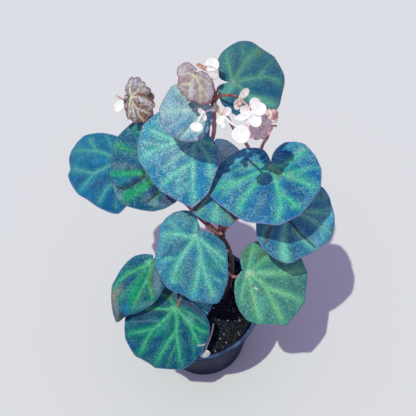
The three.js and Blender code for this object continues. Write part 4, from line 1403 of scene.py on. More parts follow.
YOUNG_LEAVES = (
    YoungLeaf(
        "young_leaf_far_left", (-32, 102, 262), -35, 28, 25, 0.1, 14.9,
        outline=(
            (-153, 5), (-124, 5.5), (-98, 7.5), (-75, 12), (-61, 17), (-40, 21), (-20, 22.5), (0, 22),
            (23, 20), (50, 18.5), (75, 16.5), (100, 18), (125, 16.5), (150, 10),
        ),
        ribs=(
            ((0, 1), (1, 8), (0.5, 16)), ((0, 0), (4, 3.5), (8, 6), (14, 6.5), (19, 8)),
            ((0, 0), (5, -3), (9, -4), (14, -2.6), (21, -1)), ((9, -4), (13, -7), (20, -9)),
            ((0, 0), (3, -6), (7, -12), (9.5, -16)), ((0, 0), (-4, 4), (-8, 11)),
            ((4, -4), (10, -9), (14, -14)),
        ),
        patches=(
            Patch((1.8, 4.4), (4.2, 1.4), 75, Tint.RUST, 0.95),
            Patch((4.2, 6.8), (3.6, 1.2), 48, Tint.RUST, 0.85),
            Patch((6, -1.6), (4.2, 1), -8, Tint.RUST, 0.95), Patch((14, 0.6), (5, 0.9), 14, Tint.RUST, 0.9),
            Patch((15.5, -5.6), (4.4, 1.1), -18, Tint.RUST, 0.85),
            Patch((-4, 6.4), (3.4, 0.9), 120, Tint.BROWN_AND_PAINTED_SHADE, 0.7),
            Patch((6.5, 14.6), (3.4, 1.1), -10, Tint.WINE, 0.8),
            Patch((15, 9), (3.4, 1.1), -40, Tint.WINE, 0.7), Patch((21, 1), (1.2, 3), 10, Tint.WINE, 0.8),
            Patch((4.2, -12.4), (4, 1), -50, Tint.WINE, 0.7), Patch((12, -13), (4, 1), -10, Tint.BROWN_AND_PAINTED_SHADE, 0.7),
            Patch((18.6, -10), (1.4, 3), 0, Tint.RUST, 0.7), Patch((-3, 13), (5, 4), 60, Tint.SILVER, 0.6),
            Patch((11, 4), (6, 1.6), 5, Tint.SILVER, 0.8), Patch((8, -9), (6, 1.6), -45, Tint.SILVER, 0.7),
            Patch((0, 0.8), (1.7, 1.5), 0, Tint.LIME, 0.95),
        ),
        fold=0.1, corner=0.3, tone=YoungTone.MAUVE, tooth=0.045,
    ),
    YoungLeaf(
        "young_leaf_top", (21, 45, 330), -62, 31, 13, 0.08, 12.9,
        outline=(
            (-153, 11.2), (-144, 11.6), (-126, 11), (-109, 10.2), (-90, 12.6), (-70, 14), (-55, 15),
            (-45, 17), (-24, 17.4), (-17, 20.4), (-2, 22.2), (12, 20), (25, 17), (42, 14), (61, 10),
            (82, 7.2), (96, 6), (108, 6), (122, 4.6), (144, 5.6), (174, 8.8),
        ),
        ribs=(
            ((0.7, -0.3), (-2.5, -2.7), (-5.5, -8)), ((0.7, -0.3), (2.9, -2.8), (4.3, -4.7), (11, -9)),
            ((0.7, -0.3), (2.7, 0.5), (7.7, -0.1), (11.4, -1.5), (18, -5)),
            ((2.7, 0.6), (8.6, 0.1), (14.2, 0.7), (20, 1.2)), ((0.9, 0), (3.9, 2.9), (8, 5.2), (13, 7.6)),
            ((4.3, -4.7), (2.2, -8), (1, -11)),
        ),
        patches=(
            Patch((-4, 0), (5, 3.6), 0, Tint.ROSE, 0.35), Patch((-1, -7), (4, 3), 0, Tint.ROSE, 0.3),
            Patch((9, -1.9), (6, 0.8), -14, Tint.ROSE, 0.5), Patch((9, 2.6), (6, 0.9), 14, Tint.ROSE, 0.45),
            Patch((-7, -6), (4, 4), 0, Tint.SILVER, 0.5), Patch((9, -6.5), (5, 2), -30, Tint.SILVER, 0.8),
            Patch((14, 4.5), (5, 2), -10, Tint.SILVER, 0.7), Patch((5, 7), (5, 1.2), 25, Tint.SILVER, 0.7),
            Patch((0.9, -0.3), (1.4, 1.1), 0, Tint.LIME, 0.8),
        ),
        stripes=(
            Stripe(((0.6, 6), (5, 9), (10.5, 9.7), (16, 7.4)), 0.6, Tint.WINE, 0.8),
            Stripe(((21, 1), (22.2, -1), (20, -5)), 1.0, Tint.WINE, 0.95),
            Stripe(((3, -13.4), (9, -12.8)), 0.9, Tint.WINE, 0.85),
        ),
        fold=0.4, corner=0.3, notch=102, tone=YoungTone.BLUSH, tooth=0.02, ruffle=0.6,
    ),
    YoungLeaf(
        "young_leaf_right", (69, 24, 298), -138, 27, -26, 0.1, 9.9,
        outline=(
            (-175, 9.2), (-150, 8.8), (-110, 9.5), (-75, 12), (-40, 16), (-14, 17), (5, 14.2), (17, 12.6),
            (34, 10.3), (48, 7.8), (62, 6), (79, 5), (95, 5), (108, 4.6), (122, 5.7), (144, 6.9), (165, 8.7),
        ),
        ribs=(
            ((0.2, -0.5), (6.6, -2.7), (15, -6)), ((0.2, -0.5), (6.8, 0.7), (13, 2)),
            ((0.2, -0.5), (-4.5, -1.2), (-8, -4)), ((0.2, -0.5), (-2.7, 3.6)), ((0.2, -0.5), (0.6, -9)),
            ((0.2, -0.5), (5, 3.4), (7, 5.6)),
        ),
        patches=(
            Patch((-5, 0.6), (4, 3.6), 0, Tint.WINE, 0.7), Patch((6, -0.8), (5, 0.9), -12, Tint.WINE, 0.35),
            Patch((-1.5, -3), (3, 1), 35, Tint.WINE, 0.5), Patch((12, -1), (3, 2), 0, Tint.SILVER, 0.5),
            Patch((0.2, -0.4), (1.3, 1.2), 0, Tint.CREAM, 0.9),
        ),
        fold=0.3, corner=0.3, notch=95, tone=YoungTone.PINK, ruffle=0.8,
    ),
)


ROUTE_STEPS = 10


def smooth_route(points: tuple[Point, ...]) -> list[Vector]:
    """Runs a centripetal Catmull-Rom curve through points.

    Args:
        points: The points.

    Returns:
        The points of the curve.
    """
    knots = [Vector(p) for p in points]
    knots = [knots[0] * 2 - knots[1], *knots, knots[-1] * 2 - knots[-2]]
    route = []
    for a, b, c, d in zip(knots, knots[1:], knots[2:], knots[3:]):
        t1 = (b - a).length ** 0.5
        t2 = t1 + (c - b).length ** 0.5
        t3 = t2 + (d - c).length ** 0.5
        for k in range(ROUTE_STEPS):
            t = t1 + (t2 - t1) * k / ROUTE_STEPS
            ab = a.lerp(b, t / t1)
            bc = b.lerp(c, (t - t1) / (t2 - t1))
            cd = c.lerp(d, (t - t2) / (t3 - t2))
            abc = ab.lerp(bc, t / t2)
            bcd = bc.lerp(cd, (t - t1) / (t3 - t1))
            route.append(abc.lerp(bcd, (t - t1) / (t2 - t1)))
    route.append(knots[-2])
    return route


@dataclass(frozen=True)
class Stalk:
    """A round, slightly uneven stalk through points, with the radius at its foot and at its head.

    Flare is how much thicker it gets at its two ends, and flare_fade how fast that fades.
    """

    points: tuple[Point, ...]
    radius: float
    head: float
    sides: int = 14
    flare: float = 0.0
    flare_fade: int = 14
    rough: float = 0.04
    rough_step: float = 0.21

    def radius_at(self, spot: Vector, share: float) -> float:
        """Gives the stalk's radius.

        Args:
            spot: Point of its route.
            share: Share of the way from its foot to its head.

        Returns:
            The radius.
        """
        radius = self.radius + (self.head - self.radius) * share
        near_end = math.exp(-share * self.flare_fade) + math.exp(-(1 - share) * self.flare_fade)
        radius *= 1 + self.flare * near_end
        return radius * (1 + self.rough * noise.noise(spot * self.rough_step))

    def add_to(self, bm: Mesh, finish: FinishSet) -> None:
        """Adds the stalk to a mesh: rings along its route, bridged and capped.

        Args:
            bm: Mesh in millimetres.
            finish: Finish of the stalk.
        """
        route = smooth_route(self.points)
        last = len(route) - 1
        previous: list[bmesh.types.BMEdge] = []
        for k, spot in enumerate(route):
            ahead = route[min(k + 1, last)] - route[max(k - 1, 0)]
            place = Matrix.Translation(spot) @ ahead.to_track_quat("Z", "Y").to_matrix().to_4x4()
            radius = self.radius_at(spot, k / last)
            ring = bmesh.ops.create_circle(bm, segments=self.sides, radius=radius, matrix=place)["verts"]
            edges = list({edge for vert in ring for edge in vert.link_edges})
            if previous:
                for face in bmesh.ops.bridge_loops(bm, edges=previous + edges)["faces"]:
                    face.material_index = finish.index
            else:
                bmesh.ops.contextual_create(bm, geom=edges, mat_nr=finish.index)
            previous = edges
        bmesh.ops.contextual_create(bm, geom=previous, mat_nr=finish.index)


@dataclass(frozen=True)
class Scale:
    """A thin pointed bract from its root to its tip, curled up at its sides.

    Its width follows a sine from root_share to root_share + tip_share of a half turn, rib is the height
    of its lengthwise ribs, and bow is how far its tip bends up, as a share of its length and its curl.
    """

    root: Point
    tip: Point
    width: float
    curl: float = 0.35
    thick: float = 0.35
    root_share: float = 0.12
    tip_share: float = 0.86
    fullness: float = 0.7
    rib: float = 0.12
    rib_turn: float = 9.5
    bow: float = 0.18
    steps: tuple[int, int] = (14, 10)

    def surface(self, length: float, u: float, v: float) -> Point:
        """Gives a point of the bract in its own frame.

        Args:
            length: Length of the bract.
            u: Share of the way from its root to its tip.
            v: Place across it, from -1 to 1.

        Returns:
            The point.
        """
        turn = math.pi * min(1.0, self.root_share + self.tip_share * u)
        width = 0.5 * self.width * (math.sin(turn) ** self.fullness)
        rib = self.rib * math.cos(v * self.rib_turn)
        bend = self.bow * length * u * u * self.curl
        return (length * u, width * v, self.curl * width * v * v + rib + bend)

    def add_to(self, bm: Mesh, finish: FinishSet) -> None:
        """Adds the bract to a mesh.

        Args:
            bm: Mesh in millimetres.
            finish: Finish of the bract.
        """
        along = Vector(self.tip) - Vector(self.root)
        side = Vector((0, 0, 1)).cross(along).normalized()
        up = along.cross(side).normalized()
        basis = Matrix((along.normalized(), side, up)).transposed().to_4x4()
        x_steps, y_steps = self.steps
        grid = bmesh.ops.create_grid(bm, x_segments=x_steps, y_segments=y_steps, size=0.5)["verts"]
        faces = list({face for vert in grid for face in vert.link_faces})
        for vert in grid:
            vert.co = self.surface(along.length, vert.co.x + 0.5, vert.co.y * 2)
        bmesh.ops.transform(bm, matrix=Matrix.Translation(self.root) @ basis, verts=grid)
        for face in faces:
            face.material_index = finish.index
        shell = bmesh.ops.solidify(bm, geom=faces, thickness=self.thick)
        for item in shell["geom"]:
            if isinstance(item, bmesh.types.BMFace):
                item.material_index = finish.index


# Joints of the stems, and how the leaf stalks end: last stretch under the blade, radius and swelling.
CROWN = (28, 24, 160)
TOP_NODE = (33, 48, 298)
STALK_RISE = 8.0
STALK_RADIUS = 1.2
STALK_FOOT = 1.05
STALK_FLARE = 0.3
STALK_END = 0.6


@dataclass
class Stems:
    """The old stem, shoots, leaf stalks, twigs and papery bracts, which grow from each other."""

    old_stem: Stalk = Stalk(
        ((24, 4, 66), (23.8, 3.8, 80), (32, 10, 96), (36, 18, 118), (34, 21, 140), CROWN), 2.1, 2.3, 20, 0.15
    )
    shoots: tuple[Stalk, ...] = (
        Stalk(
            (CROWN, (30, 50, 178), (27, 61, 204), (22, 62, 230), (29, 55, 250), (32, 51, 268), TOP_NODE),
            1.9, 1.6,
        ),
        Stalk(
            (CROWN, (48, 43, 176), (60, 55, 200), (60, 63, 224), (50, 57, 252), (42, 46, 284), (39, 36, 299)),
            1.8, 1.3,
        ),
        Stalk((CROWN, (54, 46, 178), (67, 58, 202), (70, 63, 224), (73, 52, 250), (73, 39, 275)), 1.6, 1.3),
    )
    twigs: tuple[Stalk, ...] = (
        Stalk((TOP_NODE, (35, 44, 306), (40, 39, 313), (45, 35, 316), (49, 33, 316.5)), 1.1, 0.8),
        Stalk((TOP_NODE, (34, 54, 308), (32, 56, 318), (30, 55, 326)), 1.0, 0.7),
        Stalk((TOP_NODE, (35.5, 46.5, 308), (36.5, 44, 316)), 1.0, 0.5),
        Stalk((TOP_NODE, (34, 43, 301), (33, 37, 304)), 1.0, 0.8),
    )
    dry_twig: Stalk = Stalk(((73, 39, 275), (74, 33, 283), (75, 27, 289)), 0.9, 0.8)
    stalks: dict[str, tuple[Point, ...]] = field(
        default_factory=lambda: {
            "leaf_top_right": (TOP_NODE, (37, 52, 300)),
            "leaf_top_centre": ((32, 51, 268), (31, 51, 280)),
            "leaf_centre_left": ((22, 62, 230), (20, 58, 244)),
            "leaf_mid_left": (CROWN, (12, 38, 168), (-4, 46, 204)),
            "leaf_far_left": (CROWN, (10, 45, 165), (-15, 68, 180), (-40, 79, 196)),
            "leaf_right": (CROWN, (48, 38, 172), (66, 33, 212)),
            "leaf_right_shaded": (CROWN, (44, 34, 168), (65, 27, 182)),
            "leaf_centre_under": (CROWN, (28, 28, 176), (26.5, 28, 204)),
            "leaf_centre_back": ((27, 61, 204), (32, 57, 212)),
            "leaf_lower_centre": (CROWN, (21, 22, 164), (12, 16, 174)),
            "leaf_lower_left": (CROWN, (5, 24, 156), (-15, 20, 156), (-27, 12, 158)),
            "leaf_lower_right": ((34, 21, 140), (29, 10, 142), (30, -6, 147), (37, -16, 154)),
            "leaf_front": ((36, 18, 118), (10, 17, 112), (-7, 7, 114), (-14, -8, 115)),
            "leaf_front_small": ((32, 10, 96), (14, 6, 90), (1, 1, 93)),
            "young_leaf_far_left": (CROWN, (9, 49, 170), (-9, 80, 196), (-24, 109, 226), (-32, 111, 246)),
            "young_leaf_top": (TOP_NODE, (34, 51, 308), (29, 53, 316)),
            "young_leaf_right": ((73, 39, 275), (72, 32, 284)),
        }
    )
    green: tuple[str, ...] = ("leaf_lower_left",)
    pink: tuple[str, ...] = ("leaf_front", "leaf_front_small", "leaf_lower_centre")
    bracts: tuple[Scale, ...] = (
        Scale(CROWN, (14, 18, 184), 5),
        Scale(CROWN, (20, 11, 189), 5),
        Scale(CROWN, (27, 8, 187), 4.5),
        Scale(CROWN, (36, 30, 168), 6),
        Scale(CROWN, (17, 31, 168), 5),
        Scale((31.2, 55.4, 322), (23.4, 52.8, 330.2), 7.6),
    )
    crown_radius: float = 4.2
    node_radius: float = 2.4
    knot_rough: float = 0.18
    knot_step: float = 0.6

    def knot(self, bm: Mesh, at: Point, radius: float, finish: StemFinish) -> None:
        """Adds a swollen joint.

        Args:
            bm: Mesh in millimetres.
            at: Its middle.
            radius: Its radius.
            finish: Its finish.
        """
        place = Matrix.Translation(at)
        verts = bmesh.ops.create_icosphere(bm, subdivisions=3, radius=radius, matrix=place)["verts"]
        for vert in verts:
            away = vert.co - Vector(at)
            vert.co = Vector(at) + away * (1 + self.knot_rough * noise.noise(vert.co * self.knot_step))
        paint(verts, finish.index)

    def stalk_finish(self, node: str) -> StemFinish:
        """Gives the finish of a leaf's stalk.

        Args:
            node: Node of the leaf.

        Returns:
            The finish.
        """
        if node in self.green:
            return StemFinish.GREEN
        return StemFinish.PINK if node in self.pink else StemFinish.RED

    def build(self, blades: dict[str, Blade]) -> Piece:
        """Builds the stems.

        Args:
            blades: Every blade by its node.

        Returns:
            The piece.
        """
        bm = bmesh.new()
        self.old_stem.add_to(bm, StemFinish.BARK)
        for stalk in self.shoots:
            stalk.add_to(bm, StemFinish.RED)
        for stalk in self.twigs:
            stalk.add_to(bm, StemFinish.DARK)
        self.dry_twig.add_to(bm, StemFinish.PAPERY)
        for node, route in self.stalks.items():
            blade = blades[node]
            normal = leaf_turn(blade.heading, blade.slope, blade.roll).to_3x3() @ Vector((0, 0, 1))
            ends = [tuple(Vector(blade.at) - normal * drop) for drop in (STALK_RISE, STALK_END)]
            stalk = Stalk((*route, *ends), STALK_RADIUS * STALK_FOOT, STALK_RADIUS, flare=STALK_FLARE)
            stalk.add_to(bm, self.stalk_finish(node))
        self.knot(bm, CROWN, self.crown_radius, StemFinish.BARK)
        self.knot(bm, TOP_NODE, self.node_radius, StemFinish.PINK)
        for bract in self.bracts:
            bract.add_to(bm, StemFinish.PAPERY)
        bmesh.ops.recalc_face_normals(bm, faces=bm.faces)
        return dressed(make_object(bm, "stems_and_stalks", *StemFinish.materials()), "stem", "stems")


# Heading and slope of the side that petals face, and the steps round and across one petal.
FACING = (-90.0, 35.0)
PETAL_STEPS = (32, 8)


@dataclass(frozen=True)
class Petal:
    """A thin waxy rounded petal from its root to its tip, which faces up and to the front.

    Point and root_narrow say how much narrower it gets at its tip and its root, cup and side_cup how far
    its ends and its sides bend up, and ripple how high its small waves are.
    """

    root: Point
    tip: Point
    width: float
    cup: float = 0.2
    lift: float = 0.0
    finish: BloomFinish = BloomFinish.WHITE
    point: float = 0.0
    thick: float = 0.45
    root_narrow: float = 0.25
    side_cup: float = 1.5
    ripple: float = 0.14
    ripples: int = 5

    def surface(self, length: float, x: float, y: float) -> Point:
        """Gives a point of the petal in its own frame.

        Args:
            length: Length of the petal.
            x: Place along a disc of radius 1.
            y: Place across it.

        Returns:
            The point.
        """
        narrow = 1 - self.root_narrow * max(0.0, -x) ** 2 - self.point * max(0.0, x) ** 2
        a, b = (x + 1) * length / 2, y * self.width / 2 * narrow
        height = self.cup * ((a - length / 2) ** 2 / length + b * b / self.width * self.side_cup)
        wave = self.ripple * math.cos(self.ripples * math.atan2(y, x) + length) * (x * x + y * y)
        return (a, b, height + (self.lift * (x + 1) / 2 + wave))

    def add_to(self, bm: Mesh) -> None:
        """Adds the petal to a mesh.

        Args:
            bm: Mesh in millimetres.
        """
        along = Vector(self.tip) - Vector(self.root)
        across = (leaf_turn(*FACING).to_3x3() @ Vector((0, 0, 1))).cross(along).normalized()
        up = along.cross(across).normalized()
        basis = Matrix((along.normalized(), across, up)).transposed().to_4x4()
        disc = polar_disc(*PETAL_STEPS)
        for vert in disc.verts:
            vert.co = self.surface(along.length, vert.co.x, vert.co.y)
        bmesh.ops.solidify(disc, geom=list(disc.faces), thickness=self.thick)
        for face in disc.faces:
            face.material_index = self.finish.index
        disc.transform(Matrix.Translation(self.root) @ basis)
        pour(disc, bm)


@dataclass(frozen=True)
class Bead:
    """A rounded, slightly lumpy body, such as a bud, an ovary or a joint between stalks."""

    at: Point
    size: Point
    finish: BloomFinish = BloomFinish.WHITE
    toward: Point | None = None
    lump: float = 0.06
    lump_seed: float = 0.37
    lumps: int = 3
    steps: tuple[int, int] = (28, 18)

    def add_to(self, bm: Mesh) -> None:
        """Adds the bead to a mesh.

        Args:
            bm: Mesh in millimetres.
        """
        around, along = self.steps
        verts = bmesh.ops.create_uvsphere(bm, u_segments=around, v_segments=along, radius=0.5)["verts"]
        for vert in verts:
            x, y, z = vert.co
            lump = 1 + self.lump * noise.noise(Vector(self.at) * self.lump_seed + vert.co * self.lumps)
            vert.co = (x * self.size[0] * lump, y * self.size[1] * lump, z * self.size[2])
        turn = leaf_turn(*FACING)
        if self.toward:
            turn = (Vector(self.toward) - Vector(self.at)).to_track_quat("X", "Z").to_matrix().to_4x4()
        bmesh.ops.transform(bm, matrix=Matrix.Translation(self.at) @ turn, verts=verts)
        paint(verts, self.finish.index)


@dataclass
class Spray:
    """One group of flowers with their thin stalks."""

    node: str
    pedicels: tuple[tuple[Stalk, BloomFinish], ...] = ()
    petals: tuple[Petal, ...] = ()
    beads: tuple[Bead, ...] = ()

    def build(self) -> Piece:
        """Builds and dresses the spray.

        Returns:
            The piece.
        """
        bm = bmesh.new()
        for stalk, finish in self.pedicels:
            stalk.add_to(bm, finish)
        for part in (*self.petals, *self.beads):
            part.add_to(bm)
        bmesh.ops.recalc_face_normals(bm, faces=bm.faces)
        name = self.node.replace("flowers", "blooms")
        return dressed(make_object(bm, name, *BloomFinish.materials()), "petal", self.node)


SPRAYS = (
    Spray(
        "flowers_right",
        pedicels=(
            (
                Stalk(((50.3, 30.6, 316.4), (53, 26, 316.4), (55.7, 21.5, 315.4)), 0.8, 0.8, 12),
                BloomFinish.PEACH,
            ),
        ),
        petals=(
            Petal((50.3, 30.4, 316.8), (56.7, 35.0, 320.1), 5.2, finish=BloomFinish.PEARL, lift=0.6),
            Petal((50.3, 30.6, 317.0), (46.7, 24.3, 312.6), 5.4, finish=BloomFinish.PEARL),
            Petal((49.6, 30.2, 317.3), (48.6, 25.4, 314.1), 3.4, finish=BloomFinish.PEACH, lift=0.5),
            Petal((56.1, 20.9, 316.4), (62.2, 25.2, 319.2), 7.4, finish=BloomFinish.BLUSH, lift=0.8),
            Petal((55.7, 20.4, 316.2), (48.8, 19.3, 315.3), 6.6, finish=BloomFinish.BLUSH, lift=0.5),
            Petal((56.0, 16.8, 314.2), (44.4, 15.7, 313.1), 5.0, point=0.35),
            Petal((56.4, 20.2, 316.2), (66.4, 18.4, 315.4), 9.2, cup=0.28, lift=0.6),
            Petal((55.6, 19.2, 315.2), (60.0, 10.0, 309.0), 9.0, cup=0.25),
            Petal((54.0, 19.5, 315.0), (54.4, 11.6, 309.6), 5.4, finish=BloomFinish.BLUSH),
        ),
        beads=(
            Bead((50.3, 30.8, 317.6), (1.9, 1.7, 1.4), BloomFinish.YELLOW),
            Bead((55.8, 20.6, 317.0), (1.8, 1.7, 1.4), BloomFinish.YELLOW),
        ),
    ),
    Spray(
        "flowers_left",
        pedicels=(
            (
                Stalk(
                    ((32.2, 35.4, 304.8), (27, 33, 306.2), (22, 28, 305.6), (19.8, 24, 304)), 0.95, 0.85, 12,
                ),
                BloomFinish.STALK,
            ),
            (
                Stalk(((32.2, 35.4, 304.6), (35, 33.4, 303.4), (38.2, 31, 301.8)), 0.8, 0.8, 12),
                BloomFinish.PEACH,
            ),
            (
                Stalk(
                    ((38.2, 31, 301.8), (41.6, 25, 301.8), (45.4, 17.6, 304.2), (47.4, 11.4, 307.6)), 1.0,
                    0.9, 12,
                ),
                BloomFinish.STALK,
            ),
        ),
        petals=(
            Petal((41.4, 8.4, 306.4), (54.0, 7.2, 305.6), 12.7, cup=0.1, thick=1.4),
            Petal((14.3, 23.2, 303.7), (23.2, 21.2, 302.3), 6.6, cup=0.12, thick=1.6),
            Petal((25.6, 29.8, 306.6), (21.5, 33.4, 308.9), 3.8, finish=BloomFinish.BLUSH),
            Petal((25.7, 30.2, 306.8), (25.1, 25.9, 303.8), 2.6, finish=BloomFinish.BLUSH),
            Petal((32.6, 38.8, 307.2), (37.3, 31.3, 302.4), 3.7, cup=0.5, finish=BloomFinish.HUSK),
            Petal((38.1, 31.1, 302.0), (43.9, 34.4, 304.6), 6.1, cup=0.25, finish=BloomFinish.BLUSH),
            Petal((39.3, 29.9, 301.2), (33.2, 26.9, 299.2), 6.1, cup=0.25),
        ),
        beads=(
            Bead((37.9, 28.2, 300.6), (6.4, 2.2, 2.0), BloomFinish.WHITE, toward=(37.6, 24, 298)),
            Bead((37.7, 24.6, 297.6), (4.8, 4.0, 3.0), BloomFinish.WHITE),
            Bead((36.0, 33.4, 303.8), (4.0, 2.0, 1.4), BloomFinish.PEACH, toward=(38, 30.6, 302)),
            Bead((31.6, 34.2, 305.8), (3.2, 2.8, 2.6), BloomFinish.WHITE),
        ),
    ),
    Spray(
        "flowers_top",
        petals=(
            Petal((29.2, 53.0, 327.8), (39.4, 54.4, 328.8), 9.4, cup=0.12),
            Petal((31.2, 53.6, 328.2), (36.4, 45.7, 322.6), 7.2, cup=0.12, finish=BloomFinish.PEARL),
        ),
        beads=(Bead((29.8, 53, 328.2), (2.2, 2.0, 1.6), BloomFinish.PEACH),),
    ),
    Spray(
        "flowers_far_left",
        pedicels=(
            (Stalk(((-34, 107, 252), (-39, 109, 254), (-45, 114, 254)), 0.85, 0.8, 12), BloomFinish.PEACH),
            (
                Stalk(((-39, 109, 254), (-40, 104.5, 255.8), (-39.7, 101, 257.9)), 0.7, 0.7, 12),
                BloomFinish.PEACH,
            ),
        ),
        petals=(Petal((-38.8, 102.6, 259.3), (-45.7, 95.2, 254.2), 7.6, cup=0.12, thick=0.9),),
    ),
)


@dataclass
class FallenFlower:
    """A dropped flower: its petal rests on the pot's rim and its thin stalk lies on the soil."""

    stalk: Stalk = Stalk(((12, -23.5, 82.3), (9.3, -34, 85), (4.5, -46, 89), (2, -52.5, 90.7)), 0.8, 0.8, 12)
    petal_at: Point = (1.4, -55.3, 91.1)
    length: float = 10.0
    width: float = 7.0
    thick: float = 0.5
    cup: float = 0.5
    ripple: float = 0.2
    ripples: tuple[int, int] = (4, 3)

    def build(self) -> Piece:
        """Builds and dresses the fallen flower.

        Returns:
            The piece.
        """
        bm = bmesh.new()
        self.stalk.add_to(bm, FallenFinish.STALK)
        disc = polar_disc(*PETAL_STEPS)
        for vert in disc.verts:
            x, y = vert.co.x, vert.co.y
            wave = self.ripple * math.cos(self.ripples[0] * x + self.ripples[1] * y)
            vert.co = (x * self.length / 2, y * self.width / 2, self.cup * (x * x + y * y) + wave)
        bmesh.ops.solidify(disc, geom=list(disc.faces), thickness=self.thick)
        disc.transform(Matrix.Translation(self.petal_at))
        pour(disc, bm)
        bmesh.ops.recalc_face_normals(bm, faces=bm.faces)
        return dressed(make_object(bm, "dropped_flower", *FallenFinish.materials()), "petal", "fallen_flower")


@dataclass
class Pot:
    """Round nursery pot with a rolled rim over a short band, and drain holes in its floor."""

    height: float = 90.0
    base_radius: float = 42.0
    foot_bevel: float = 1.5
    foot_round: float = 0.4
    rim_radius: float = 60.0
    roll_radius: float = 2.0
    roll_start: int = -90
    roll_turn: int = 270
    roll_steps: int = 14
    rim_depth: float = 0.6
    band_drop: float = 12.0
    band_step: float = 1.4
    wall: float = 1.6
    floor: float = 2.4
    drain_radius: float = 3.5
    drain_circle: float = 26.0
    drains: int = 5
    drain_sides: int = 32
    steps: int = 160

    def outer(self, z: float) -> float:
        """Gives the radius of the outer wall at a height, below the band."""
        top = self.rim_radius - self.roll_radius - self.band_step
        return self.base_radius + (top - self.base_radius) * z / self.height

    def roll(self) -> list[Spot]:
        """Lists the radius and height of the points of the rolled rim.

        Returns:
            The points from its underside round its outer side and its top to its inner side.
        """
        points = []
        for k in range(self.roll_steps + 1):
            angle = math.radians(self.roll_start + self.roll_turn * k / self.roll_steps)
            away, up = self.roll_radius * math.cos(angle), self.roll_radius * math.sin(angle)
            points.append((self.rim_radius - self.roll_radius + away, self.height - self.roll_radius + up))
        return points

    def profile(self) -> list[Spot]:
        """Lists the radius and height of the pot's closed section.

        Returns:
            The section from the middle of the underside to the middle of the floor.
        """
        foot = self.height - self.band_drop
        return [
            (0, 0),
            (self.base_radius - self.foot_bevel, 0),
            (self.base_radius - self.foot_round, self.foot_round),
            (self.base_radius, self.foot_bevel),
            (self.outer(foot), foot),
            (self.outer(foot) + self.band_step, foot + self.band_step),
            *self.roll(),
            (self.outer(foot) - self.wall, foot),
            (self.outer(self.floor) - self.wall, self.floor),
            (0, self.floor),
        ]

    def drills(self) -> Piece:
        """Makes the cutters of the drain holes.

        Returns:
            The cutters as one object.
        """
        bm = bmesh.new()
        for k in range(self.drains):
            angle = math.tau * (k + 0.5) / self.drains
            spot = (self.drain_circle * math.cos(angle), self.drain_circle * math.sin(angle), self.floor / 2)
            bmesh.ops.create_cone(
                bm,
                cap_ends=True,
                segments=self.drain_sides,
                radius1=self.drain_radius,
                radius2=self.drain_radius,
                depth=2 * self.floor,
                matrix=Matrix.Translation(spot),
            )
        return make_object(bm, "drain_drills")

    def build(self) -> Piece:
        """Builds and dresses the pot.

        Returns:
            The piece.
        """
        bm = spun(self.profile(), self.steps)
        # The top of the rim takes the lighter finish, a painted highlight.
        rim_foot = self.height - self.rim_depth * self.roll_radius
        for face in bm.faces:
            finish = PotFinish.RIM_PAINTED_HIGHLIGHT if face.calc_center_median().z > rim_foot else PotFinish.WALL
            face.material_index = finish.index
        made = make_object(bm, "nursery_pot", *PotFinish.materials())
        cutter = self.drills()
        cut = made.modifiers.new("drains", "BOOLEAN")
        cut.object = cutter
        cut.operation = "DIFFERENCE"
        cut.solver = "EXACT"
        apply_modifiers(made)
        bpy.data.objects.remove(cutter)
        return dressed(made, "pot", "pot")


def apply_modifiers(piece: Piece) -> None:
    """Bakes a piece's modifiers into its mesh.

    Args:
        piece: The piece.
    """
    graph = bpy.context.evaluated_depsgraph_get()
    mesh = bpy.data.meshes.new_from_object(piece.evaluated_get(graph))
    piece.modifiers.clear()
    piece.data = mesh


@dataclass(frozen=True)
class Grains:
    """One kind of rough grain on the soil, with its least and most radius and ratio of length to width."""

    name: str
    count: int
    size: Span
    finish: GroundFinish
    long: Span


